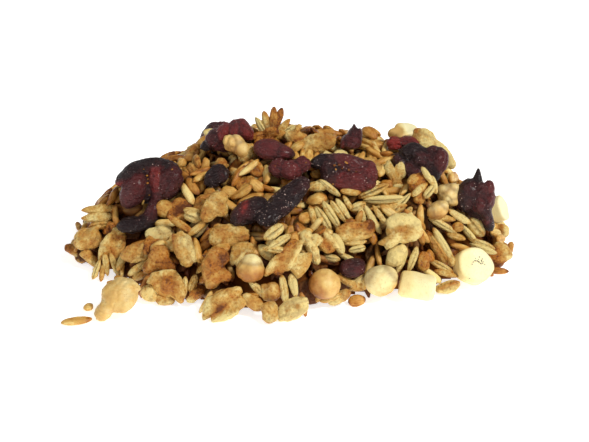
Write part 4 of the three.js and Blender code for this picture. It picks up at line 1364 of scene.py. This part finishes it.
# Dried berries. A lobe is a row of right, up, to the viewer, length, width, depth, turn, red and, where it
# differs, its wrinkle. Red runs from near-black purple at 0 to bright red at 1. Crumbs stuck on them are
# (right, up, size, toast, turn).
berryForms = {
    1: {"specks": 60, "lobes": [
        (0, -0.4, -1, 19, 13, 9, 12, 0.1), (-7.2, 3.6, 0.8, 11, 5, 8, 46, 0.05, 0.35),
        (-1.4, 6.6, 1, 12, 4.6, 8, 14, 0.05, 0.35), (5.2, 6.6, 0.8, 9, 4, 7, -16, 0.05, 0.35),
        (-5.4, -2.6, 2.6, 13.4, 8.2, 8, 66, 0.36, 0.2), (2.3, 1, 2.4, 12, 4.8, 6.5, 98, 0.62, 0.3),
        (2.6, -5, 2, 6, 4, 5.5, 80, 0.3, 0.3), (6.6, 0.6, 2, 12.4, 8.4, 8, 72, 0.28, 0.45),
        (-8.6, 0.6, 2, 5.5, 3, 4, 14, 1),
    ], "crumbs": [
        (-0.5, 1.9, 1.5, 0.45, 0), (-0.4, -0.3, 1.6, 0.4, 40), (0.1, -3.9, 1.1, 0.2, 0),
        (-0.2, 0.9, 0.9, 0.3, 0), (-2, -6, 3.8, 0.1, 66), (3.4, 2.6, 0.8, 0.5, 0),
        (7.4, 3.8, 1.1, 0.3, 30), (-1.4, 4, 0.8, 0.2, 0),
    ]},
    2: {"specks": 16, "lobes": [
        (4.7, 2.8, 1, 9.8, 4.6, 5, 82, 0.26, 0.3), (-2.6, -2.8, 0, 10.5, 6, 6.5, 4, 0, 0.5),
        (2.6, -1.4, 0.4, 8, 6, 6, 30, 0.1),
    ]},
    3: {"specks": 10, "lobes": [
        (0, -1.2, -0.6, 17, 8, 6, 12, 0.3), (-5.3, -0.7, 0.4, 7.4, 6, 6.5, 50, 0.3),
        (-1.6, 1.3, 0.8, 7.8, 5.6, 7, 55, 0.62), (2.6, 2.1, 0.6, 7.6, 5.6, 7, 80, 0.56),
        (6.3, 2.2, 0.2, 8.8, 5.6, 6.6, -54, 0.62), (-7.6, -3, 0, 6, 3.5, 4, 30, 0),
    ]},
    4: {"specks": 12, "lobes": [
        (0, 0, 0, 9.4, 6.8, 5, 65, 0.04, 0.7), (1.4, 0.8, 0.8, 6.5, 3.4, 3.8, 100, 0.2, 0.5),
    ]},
    5: {"specks": 3, "lobes": [
        (-1.2, 0.2, 0, 10.6, 7.2, 6, -12, 0.46, 0.06), (2.4, -0.6, 0, 8.6, 5.2, 5, -14, 0.46, 0.1),
        (4.8, -1.2, 0, 4.6, 2.8, 3, -16, 0.4, 0.1),
    ], "crumbs": [(4.2, 1.5, 1, 0, -20), (6.4, 0.2, 1.2, -0.2, -30)]},
    6: {"specks": 20, "lobes": [
        (-4, 0, 0, 6.4, 6.4, 5, 0, 0.45, 0.7), (0.8, -0.8, 0.8, 8.4, 7, 6, -10, 0.52, 0.25),
        (4.6, 1, 0, 6.6, 5.8, 5, 20, 0.45, 0.7),
    ], "crumbs": [
        (-4.4, 0.6, 1.6, 0.6, 0), (-3.6, -0.6, 1.4, 0.7, 60), (-5, -0.4, 1.2, 0.5, 20),
        (-3.8, 1.4, 1.2, 0.6, 0), (4.2, 0.8, 1.6, 0.6, 0), (5, 1.6, 1.3, 0.5, 0),
        (5.4, 0.2, 1.4, 0.7, 40), (3.6, 1.8, 1.2, 0.4, 0),
    ]},
    7: {"specks": 90, "lobes": [
        (1.6, 0, -1, 19, 10.5, 5, -9, 0.25), (2.2, 3, 0.2, 18, 5.8, 5.4, -13, 0.42, 0.4),
        (2.6, -3, 0.5, 17.5, 6.8, 6, -5, 0.52, 0.4), (-5, 0.6, 0, 8, 11.4, 6, 4, 0.14, 0.4),
        (8.8, -0.6, 0.2, 6, 9.4, 5.6, -8, 0.5, 0.5), (-8.6, 3.8, -0.6, 8, 4.4, 4.4, 15, 0.02),
    ], "crumbs": [
        (-3, 2, 1.6, 0.5, 0), (-1.6, 2.2, 1.8, 0.6, 30), (-2.6, 0.8, 1.3, 0.3, 0),
        (-0.6, 1.2, 1.4, 0.7, 10), (0.6, 2.9, 2.4, 0.1, -38), (1.4, 0.7, 1.5, 0.6, 0),
        (3.6, 0.2, 1.4, 0.6, 0), (-3.4, -3.6, 1.1, 0.3, 0),
    ]},
    8: {"specks": 170, "lobes": [
        (0.4, -0.3, 0, 24, 9.4, 6.2, 52, 0.05, 0.3), (-1.8, 1.6, 0.8, 18, 4.4, 4.4, 50, 0.03, 0.3),
        (6, 7, 0.2, 9, 7.2, 5, 58, 0.14, 0.4), (-6, -7, 0.2, 9, 9, 6, 40, 0, 0.3),
    ]},
    9: {"specks": 24, "lobes": [
        (0, 0, 0, 17.5, 7.8, 6, 18, 0.12, 0.5), (-2.4, 0.6, 1.2, 7.6, 4.2, 4.4, 38, 0.85, 0.5),
        (-4.8, -1.6, 0.6, 8, 6, 5.4, 20, 0.2), (3.6, 2, 0.4, 9.4, 4.4, 4.4, 8, 0),
    ]},
    10: {"specks": 6, "lobes": [
        (0, -1, 0, 8.8, 5.6, 6, 0, 0.4, 0.35), (0.8, 1, 0, 5.4, 5, 4.4, 60, 0.34),
        (1.2, 2.8, 0, 3.6, 1.8, 2.2, 96, 0.2), (3.2, 0.8, 0.3, 4.8, 2.4, 3.4, 85, 0.2),
        (-3, -1.4, 0.6, 4.4, 3, 3.5, 25, 0.6),
    ]},
    11: {"specks": 40, "lobes": [
        (0, 0, -0.6, 18, 9, 6, -8, 0.1), (-3.8, 2.8, 0.4, 9.4, 5.6, 5.6, 10, 0, 0.2),
        (-8, -0.6, 0, 6, 4.6, 4.5, -30, 0.22), (-0.4, 0.4, 1.2, 10, 6, 6, -12, 0.16, 0.7),
        (-3, -2.6, 0.8, 9, 5.4, 5, -20, 0.28, 0.4), (7, 0, 0.2, 8.6, 7, 6.5, 70, 0.36, 0.35),
        (5, 2.8, 0, 5.6, 4.2, 4.5, 0, 0.26), (4.6, -3.6, 0.5, 6, 5.2, 5, -60, 0.08),
    ]},
    12: {"specks": 50, "lobes": [
        (0.5, 0.2, -0.6, 13, 10, 6, 100, 0.16), (-3.4, 1.6, 0.3, 11, 8.6, 7, 55, 0.14, 0.25),
        (0.6, 5.6, 0, 6, 3.6, 3.6, 84, 0.08, 0.2), (0.9, 8, 0, 3.8, 1.8, 2.2, 88, 0.04, 0.1),
        (5, 3.4, 0.6, 5.4, 4.4, 5, 80, 0.5, 0.6), (4.8, 0, 0.9, 5.4, 4.8, 5, 60, 0.4, 0.6),
        (1.6, 2.6, 1.6, 5.6, 4.6, 5, 100, 0.26, 0.6), (0.8, -1.4, 1.8, 5.6, 5, 5, 70, 0.34, 0.6),
        (3.4, -3.4, 1, 6, 4.6, 5, 122, 0.24, 0.5), (4.2, -5.8, 0.4, 4.6, 4.2, 4.2, 100, 0.3, 0.5),
        (5, -7.4, 0, 4.6, 3.8, 3.6, 110, 0),
    ]},
    13: {"specks": 8, "lobes": [
        (0, 0, 0, 8, 6.8, 6, 10, 0.26, 0.25), (0.6, 1.2, 0.7, 5.8, 3.6, 3.8, 20, 0.34, 0.2),
    ]},
    14: {"specks": 4, "lobes": [
        (-3, -0.2, 0, 5.4, 5.4, 5, 0, 0.8, 0.5), (1.8, 0.3, 0, 8, 4.8, 5, -5, 0.6, 0.5),
    ]},
}

# The berries on the far side and the left end, along their heading and seen from above.
farBerries = {15: -24, 16: 40, 17: -35, 18: 65, 19: 5}
for number, heading in farBerries.items():
    berryForms[number] = {"fromAbove": True, "specks": 14, "lobes": [
        (0, 0, -0.6, 15, 8.4, 5, heading, 0.1 * (number % 3), 0.5),
        (0.4, 1.6, 0.4, 13, 5.2, 5, heading + 6, 0.36, 0.4),
        (0.2, -2, 0.6, 12.6, 5.4, 5, heading - 6, 0.2, 0.5),
    ]}

berrySkin = {
    "blend": 0.32,         # mm over which lobes run together
    "seamShade": 0.8,
    "foldShade": 1.0,
    "folds": 0.34,         # folds per mm across a lobe
    "foldsAlong": 0.15,
    "wrinkle": 0.4,        # mm, where the lobe gives none
    "bigLobe": 16,         # mm, berries with a longer lobe get finer faces
    "black": paint(38, 22, 24),
    "maroon": paint(104, 42, 42),
    "red": paint(158, 48, 40),
    "bloom": paint(122, 82, 76),
    "roughness": 0.33,
}


def berryMaterial(look):
    material, tree, shader = newMaterial("berrySkin")
    own = attribute(tree, "own", 1)
    red = attribute(tree, "red", 2)
    crease = attribute(tree, "crease", 2)
    level = red + (own.noise(0.3, 3.0) - 0.5) * 0.5
    colour = level.ramp([(0.08, look["black"]), (0.5, look["maroon"]), (0.95, look["red"])])
    # Painted shade in the seams between lobes and in the folds of the wrinkles.
    colour = (crease.between(0.25, 1.0) * 0.6).tint(colour, look["black"])
    bloom = own.noise(1.1, 4.0, 0.7).between(0.56, 0.74)
    colour = (bloom * 0.3).tint(colour, look["bloom"])
    relief = own.noise(0.75, 5.0, 0.62) + own.scaled(0.4, 1.3, 1.3).noise(1.1, 3.0) * 0.7
    bumps = relief.bump(1.0, 1.5 * mm)
    rough = look["roughness"] + bloom * 0.25
    fixed = {"IOR": 1.42, "Specular IOR Level": 0.42, "Coat Weight": 0.06, "Coat Roughness": 0.15}
    finishShader(tree, shader, {"Base Color": colour, "Roughness": rough, "Normal": bumps}, fixed)
    return material


def buildBerry(number, form, material):
    node = f"dried_berry_{number}"
    lobes = lobesFrom(form["lobes"], berrySkin["wrinkle"])
    big = max(max(lobe["size"]) for lobe in lobes) > berrySkin["bigLobe"]
    made = fusedShape(lobes, berrySkin, number * 3.7, 6 if big else 5)
    if not form.get("fromAbove"):
        made["points"] = made["points"] @ frontTilt.T
    made["points"] = fittedTo(node, made["points"])
    red = np.array([row[7] for row in form["lobes"]]) @ made["shares"]
    return soloPiece(f"driedBerry{number}", made, {"red": red}, material, node, number)


stickChance = random.Random(21)
berryPieces = {}
berrySkinMade = berryMaterial(berrySkin)
for number, form in berryForms.items():
    berryPieces[number] = buildBerry(number, form, berrySkinMade)
    for right, up, size, toast, turn in form.get("crumbs", []):
        kind = "chip" if size < 2 else "grain"
        stickOn(berryPieces[number], kind, right, up, size, toast, turn, stickChance)

sugarSpeck = {
    "length": (1, 1),
    "width": (0.8, 0.8),
    "thick": (0.6, 0.6),
    "lumps": 0.5,
    "plenty": 1.6,         # specks made for each that a berry names
    "size": (0.16, 0.5),
    "power": 1.4,          # more small ones than large ones
}
sugarChance = np.random.default_rng(17)
shapes["sugar"] = [chipShape(sugarSpeck, stickChance, 1)]
for number, piece in berryPieces.items():
    areas = np.zeros(len(piece.data.polygons))
    piece.data.polygons.foreach_get("area", areas)
    specks = int(berryForms[number]["specks"] * sugarSpeck["plenty"])
    for index in sugarChance.choice(len(areas), specks, p=areas / areas.sum()):
        face = piece.data.polygons[int(index)]
        rotation = turnedTo(face.normal, sugarChance.uniform(0, 360), 0, 0)
        size = float(sugarChance.uniform(*sugarSpeck["size"]) ** sugarSpeck["power"])
        place = tuple(np.array(face.center / mm))
        laid = {"shape": 0, "rotation": rotation, "size": size, "place": place, "toast": 0}
        placements["sugar"].append(laid)
berryFaces = sum(len(piece.data.polygons) for piece in berryPieces.values())
print("dried berries:", len(berryPieces), "faces:", berryFaces)


# Round nuts, with lobes as rows like the berries'. Each is darker on one side, mostly its lower and far side,
# as painted shade,
# and nut 3 is paler towards its top: toast is all over, extra on that side, and the side as right, up, to the
# viewer.
nutForms = {
    1: {"toast": (0.42, 0.5, (-0.8, -0.5, -0.2)), "lobes": [(0, 0, 0, 10, 9.6, 9.6, 0, 0)]},
    2: {"toast": (0.12, 0.4, (0.6, -0.6, -0.6)), "lobes": [
        (0, 0, 0, 9.8, 9.2, 9.4, 20, 0), (1.8, 1.4, 0.6, 6.4, 6, 6, 0, 0),
        (-2, 0.8, 0.6, 5.8, 6.2, 6, 0, 0),
    ]},
    3: {"toast": (0.78, -0.6, (0.1, 0.9, 0.2)), "lobes": [
        (0, -0.8, 0, 8.6, 7.6, 8, 0, 0, 0.3), (0.3, 1.6, 0, 6.2, 6.4, 6.2, 20, 0),
    ]},
    4: {"toast": (0.26, 0.3, (0.5, -0.5, -0.5)), "lobes": [
        (0, 0, 0, 7, 6.6, 7, 30, 0, 0.5), (-1.8, 1.4, 1.2, 4.2, 3.4, 4, 0, 0, 0.4),
        (1.2, 2, 1, 4.4, 3.2, 3.8, 30, 0), (1, -2.2, 1.4, 4, 2.8, 3.4, -20, 0),
    ]},
    5: {"toast": (0.28, 0.35, (0.2, -0.8, 0)), "lobes": [
        (0, 0, 0, 6.2, 5.4, 6.2, 30, 0, 0.4), (1.4, 1.4, 1, 3.6, 3, 3.2, 0, 0),
        (-1.8, -0.6, 1, 3.2, 3.6, 3.2, 20, 0),
    ]},
    6: {"toast": (0.34, 0.3, (-0.4, -0.9, 0)), "lobes": [
        (-1.6, 0.8, 0, 6.4, 4.6, 5.6, -24, 0, 0.6), (0.4, 1.6, 0.4, 4.6, 2.6, 4, -40, 0, 0.4),
        (1.8, -1.2, 0.8, 5, 4.6, 5, -30, 0, 0.05),
    ]},
    7: {"toast": (0.2, 0.4, (0.8, 0, -0.5)), "lobes": [(0, 0, 0, 9.2, 9, 9.2, 0, 0)]},
    8: {"toast": (0.3, 0.3, (-0.8, 0, -0.5)), "lobes": [(0, 0, 0, 9.6, 9.4, 9.6, 0, 0)]},
}

nutSkin = {
    "blend": 0.5,
    "seamShade": 0.6,
    "foldShade": 0.2,
    "folds": 0.3,
    "foldsAlong": 0.3,
    "wrinkle": 0.16,
    "pale": paint(248, 232, 168),
    "golden": paint(224, 182, 104),
    "toasted": paint(178, 116, 50),
    "dark": paint(112, 66, 30),
    "roughness": 0.45,
}


def nutMaterial(look):
    material, tree, shader = newMaterial("roastedNut")
    own = attribute(tree, "own", 1)
    toast = attribute(tree, "toast", 2)
    crease = attribute(tree, "crease", 2)
    level = toast + (own.noise(0.35, 4.0, 0.6) - 0.5) * 0.7
    stops = [(0.1, look["pale"]), (0.42, look["golden"]), (0.75, look["toasted"]), (1.0, look["dark"])]
    colour = level.ramp(stops)
    # Painted shade in the seams between lobes and in the folds.
    colour = (crease.between(0.15, 0.9) * 0.7).tint(colour, look["dark"])
    specks = 1 - own.cells(0.9).between(0.12, 0.22)
    colour = (specks * 0.3).tint(colour, look["toasted"])
    bumps = (own.noise(0.7, 4.0, 0.6) + own.noise(2.0, 3.0) * 0.4).bump(0.6, 0.5 * mm)
    fixed = {"Roughness": look["roughness"], "IOR": 1.45}
    finishShader(tree, shader, {"Base Color": colour, "Normal": bumps}, fixed)
    return material


def tonedTowards(made, overall, extra, side):  # more toast colour on the side that faces this way; on most nuts and on banana slices 1 and 2 it is painted shade
    middle = (made["points"].max(0) + made["points"].min(0)) / 2
    out = made["points"] - middle
    out = out / np.linalg.norm(out, axis=1)[:, None]
    way = frontTilt @ (np.array(side) / np.linalg.norm(side))
    return overall + extra * np.clip(out @ way + 0.2, 0, 1)


nutSkinMade = nutMaterial(nutSkin)
for number, form in nutForms.items():
    made = fusedShape(lobesFrom(form["lobes"], nutSkin["wrinkle"]), nutSkin, number * 5.1, 5)
    made["points"] = fittedTo(f"nut_{number}", made["points"] @ frontTilt.T)
    toast = tonedTowards(made, *form["toast"])
    soloPiece(f"roundNut{number}", made, {"toast": toast}, nutSkinMade, f"nut_{number}", number)

# The pale lump beside the heap, with its lower lobe and the flake folded over its top.
lumpForm = [
    (1, 0.9, 0, 12.4, 12, 11, 40, 0), (-4.4, -5, 0.6, 6.6, 5.8, 6, 65, 0),
    (-2.2, -2.2, 2.2, 6.4, 5, 5.4, 20, 0), (3.6, -0.8, 2, 8.4, 5.4, 6, 62, 0),
    (-0.8, 3, 1.8, 8, 6, 6, 10, 0), (4, 5.2, 0.8, 8.6, 3, 6, -22, 0, 0.7),
    (2.6, 6.2, 0.2, 6.4, 1.8, 4.6, -16, 0, 0.5),
]
lumpSkin = {**nutSkin, "wrinkle": 0.25, "seamShade": 0.3}
made = fusedShape(lobesFrom(lumpForm, lumpSkin["wrinkle"]), lumpSkin, 4.4, 6)
made["points"] = fittedTo("nut_lump", made["points"] @ frontTilt.T)
toast = tonedTowards(made, 0.3, 0.12, (-0.2, -0.2, 0.9))
soloPiece("paleLump", made, {"toast": toast}, nutSkinMade, "nut_lump", 9)


# Banana slices: drums with rounded rims, thinner in the middle, and their seeds.
bananaLook = {
    "sharpness": {2: 5.0, 4: 4.0},  # of the rim, 2 would be a ball
    "usualSharpness": 8.0,
    "dip": 0.1,            # of the faces, as a share of the thickness
    "flutes": 0.03,
    "lumps": {4: 1.3},     # mm
    "usualLumps": 0.3,
    "axes": {2: (0.982, -0.153, -0.107)},  # of the one that lies on its side
    # how much the left side is darker, and on which side: painted shade on slices 1 and 2, and the toasted
    # left half of slice 4
    "sideShadeAndToast": {1: (0.3, (-0.9, 0.2, 0)), 2: (0.26, (-1, 0.2, 0)), 4: (1.0, (-0.9, 0.1, 0.4))},
    "pale": paint(255, 246, 196),
    "cream": paint(248, 228, 160),
    "tan": paint(208, 166, 96),
    "roughness": 0.5,
}


def bananaMaterial(look):
    material, tree, shader = newMaterial("driedBanana")
    own = attribute(tree, "own", 1)
    toast = attribute(tree, "toast", 2)
    level = toast + (own.noise(0.3, 4.0, 0.6) - 0.5) * 0.5
    colour = level.ramp([(0.1, look["pale"]), (0.4, look["cream"]), (0.8, look["tan"])])
    fibres = own.scaled(2.2, 2.2, 0.35).noise(1.4, 3.0)
    colour = (fibres.between(0.5, 0.75) * 0.3).tint(colour, look["tan"])
    bumps = (fibres + own.noise(1.5, 3.0) * 0.5).bump(0.35, 0.3 * mm)
    fixed = {"Roughness": look["roughness"], "IOR": 1.45}
    finishShader(tree, shader, {"Base Color": colour, "Normal": bumps}, fixed)
    return material


def drumAxis(number):  # square to the solid's flat face, if the slice doesn't lie on its side
    if number in bananaLook["axes"]:
        return np.array(bananaLook["axes"][number])
    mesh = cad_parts[f"banana_slice_{number}"].data
    normals = np.array([poly.normal for poly in mesh.polygons])
    areas = np.array([poly.area for poly in mesh.polygons])
    reach = np.array([poly.normal.dot(poly.center) for poly in mesh.polygons]) / mm
    onePlane = (normals @ normals.T > 0.998) & (np.abs(reach[:, None] - reach[None, :]) < 0.15)
    axis = normals[int(np.argmax(onePlane @ areas))]
    return axis if axis[2] > 0 else -axis


def buildBanana(number, material):
    name = f"banana_slice_{number}"
    axis = drumAxis(number)
    follow = np.array(Vector((0, 0, 1)).rotation_difference(Vector(axis)).to_matrix())
    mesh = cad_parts[name].data
    local = np.array([vert.co for vert in mesh.vertices]) / mm @ follow
    low, high = local.min(0), local.max(0)
    half = (high - low) / 2
    bm = bmesh.new()
    crease = bm.verts.layers.float.new("crease")
    bmesh.ops.create_icosphere(bm, subdivisions=5, radius=1)
    power = bananaLook["sharpness"].get(number, bananaLook["usualSharpness"])
    lumps = bananaLook["lumps"].get(number, bananaLook["usualLumps"])
    for vert in bm.verts:
        radius, angle = math.hypot(vert.co.x, vert.co.y), math.atan2(vert.co.y, vert.co.x)
        vert.co = vert.co / (radius ** power + abs(vert.co.z) ** power) ** (1 / power)
        radius = math.hypot(vert.co.x, vert.co.y)
        vert.co.z *= 1 - bananaLook["dip"] * (1 - min(radius, 1) ** 2)
        flute = 1 + bananaLook["flutes"] * math.sin(5 * angle + number)
        vert[crease] = max(0, min(1, (radius - 0.8) * 4))
        vert.co = Vector((vert.co.x * flute * half[0], vert.co.y * flute * half[1], vert.co.z * half[2]))
        lump = wave(vert.co.x * 0.3 + number * 9, vert.co.y * 0.3, vert.co.z * 0.3)
        vert.co += vert.co.normalized() * lumps * lump
    made = arraysOf(bm, crease)
    made["points"] = (made["points"] + (low + high) / 2) @ follow.T
    sideShadeAndToast, side = bananaLook["sideShadeAndToast"].get(number, (0, (0, 0, 1)))
    toast = 0.06 + 0.2 * made["creases"] + tonedTowards(made, 0, sideShadeAndToast, side)
    return soloPiece(f"bananaSlice{number}", made, {"toast": toast}, material, name, number)


bananaMade = bananaMaterial(bananaLook)
bananaPieces = {number: buildBanana(number, bananaMade) for number in range(1, 7)}

# The seeds in the middle of the front slice: right, up, length, turn.
seeds = [
    (-0.9, 0.7, 0.7, 60), (-0.5, 1.4, 0.8, 40), (0.1, 1.8, 0.9, 10), (0.8, 1.7, 0.9, -10),
    (1.3, 1.4, 1.0, -35), (1.9, 0.9, 0.9, -40), (2.5, 1.0, 0.7, -20), (2.2, 1.7, 0.9, -50),
    (2.8, 1.4, 0.6, 0), (1.6, 2.9, 0.8, 20), (0.3, 2.5, 0.5, 0), (2.5, 2.3, 0.7, 30),
    (3.2, 0.6, 0.6, -60), (1.2, 2.2, 0.5, 60), (-1.9, -3.4, 0.6, 0),
]
seedLook = {"length": (1, 1), "width": (0.5, 0.5), "thick": (0.35, 0.35), "lumps": 0.3, "size": 1.3}
shapes["seed"] = [chipShape(seedLook, stickChance, 1)]
for right, up, size, turn in seeds:
    stickOn(bananaPieces[1], "seed", right, up, size * seedLook["size"], 0, turn, stickChance, "seed")
print("nuts, lump and banana slices made")

# The single oat and the crumb beside the heap, seen from above.
oatSkin = {**nutSkin, "wrinkle": 0.05}
oatForm = [(0, 0, 0, 9, 3.1, 2.3, 12, 0)]
made = fusedShape(lobesFrom(oatForm, oatSkin["wrinkle"]), oatSkin, 2.2, 5)
made["points"] = fittedTo("loose_oat", made["points"])
along = (made["points"][:, 0] - made["points"][:, 0].mean()) / 4.4  # about 1 and -1 at its ends
toast = 0.42 + 0.7 * np.clip(along - 0.55, 0, 1) + 0.2 * np.clip(-along - 0.7, 0, 1)
soloPiece("singleOat", made, {"toast": toast}, oatBrown, "loose_oat", 6)

crumbForm = [(0, 0, 0, 3, 2.8, 2.1, 0, 0), (0.5, 0.6, 0.2, 1.8, 1.6, 1.4, 0, 0)]
made = fusedShape(lobesFrom(crumbForm, nutSkin["wrinkle"]), nutSkin, 7.7, 4)
made["points"] = fittedTo("loose_crumb", made["points"])
toast = np.full(len(made["points"]), 0.4)
soloPiece("singleCrumb", made, {"toast": toast}, oatBrown, "loose_crumb", 8)

buildCore()
copyChance = random.Random(3)
loosePieces = [
    ("oatGrains", "grain", oatBrown, "toasted_oats"),
    ("puffedOats", "puffed", oatBrown, "toasted_oats"),
    ("rolledFlakes", "rolled", flakeBrown, "toasted_oats"),
    ("crispFlakes", "crisp", flakeBrown, "toasted_oats"),
    ("oatClusters", "cluster", flakeBrown, "toasted_oats"),
    ("nutChips", "chip", oatBrown, "toasted_oats"),
    ("oatBundles", "bundle", oatBrown, "toasted_oats"),
    ("showFlakes", "show", flakeBrown, "toasted_oats"),
    ("stuckCrumbs", "stuck", oatBrown, "toasted_oats"),
    ("sugarSpecks", "sugar", sugarWhite, "dried_berry"),
    ("bananaSeeds", "seed", seedBlack, "banana"),
]
for name, kind, material, slot in loosePieces:
    joinCopies(name, kind, material, copyChance)


# Floor, light and camera.
def addArea(name, place, target, size, power, colour):
    data = bpy.data.lights.new(name, "AREA")
    data.shape = "DISK"
    data.size = size
    data.energy = power
    data.color = colour
    lamp = bpy.data.objects.new(name, data)
    lamp.location = place
    lamp.rotation_euler = (Vector(target) - Vector(place)).to_track_quat("-Z", "Y").to_euler()
    bpy.context.scene.collection.objects.link(lamp)


studio = {
    "floorSize": 6.0,
    "floorGlow": 0.72,
    "skyStrength": 0.22,
    "lampTarget": (0, 0, 0.02),
    "lamps": {  # place, size, power and colour
        "keyLight": ((0.75, -0.55, 1.1), 0.3, 15.5, (1.0, 0.97, 0.92)),
        "fillLight": ((-0.9, -0.7, 0.7), 1.0, 3, (0.95, 0.97, 1.0)),
    },
}

bm = bmesh.new()
bmesh.ops.create_grid(bm, x_segments=1, y_segments=1, size=studio["floorSize"] / 2)
floorMesh = bpy.data.meshes.new("paleFloor")
bm.to_mesh(floorMesh)
bm.free()
floor = bpy.data.objects.new("paleFloor", floorMesh)
bpy.context.scene.collection.objects.link(floor)
floorMaterial, floorTree, floorShader = newMaterial("paleFloor")
finishShader(floorTree, floorShader, {}, {
    "Base Color": (0.92, 0.92, 0.92, 1.0),
    "Roughness": 0.9,
    "Emission Color": (1.0, 1.0, 1.0, 1.0),
    "Emission Strength": studio["floorGlow"],
})
floorMesh.materials.append(floorMaterial)

world = bpy.data.worlds.new("studioSky")
world.use_nodes = True
world.node_tree.nodes["Background"].inputs["Color"].default_value = (1.0, 1.0, 1.0, 1.0)
world.node_tree.nodes["Background"].inputs["Strength"].default_value = studio["skyStrength"]
bpy.context.scene.world = world
for name, (place, size, power, colour) in studio["lamps"].items():
    addArea(name, place, studio["lampTarget"], size, power, colour)

cameraData = bpy.data.cameras.new("photoCamera")
cameraData.lens = cameraView["lens"]
cameraData.sensor_width = cameraView["sensor"]
cameraData.clip_start = 0.01
camera = bpy.data.objects.new("photoCamera", cameraData)
x, y, z = cameraView["place"]
camera.location = ((x + heapMiddle.x) * mm, (y + heapMiddle.y) * mm, z * mm)
camera.rotation_euler = (math.radians(cameraView["tilt"]), 0, 0)
bpy.context.scene.collection.objects.link(camera)
bpy.context.scene.camera = camera
bpy.context.scene.view_settings.view_transform = "Standard"
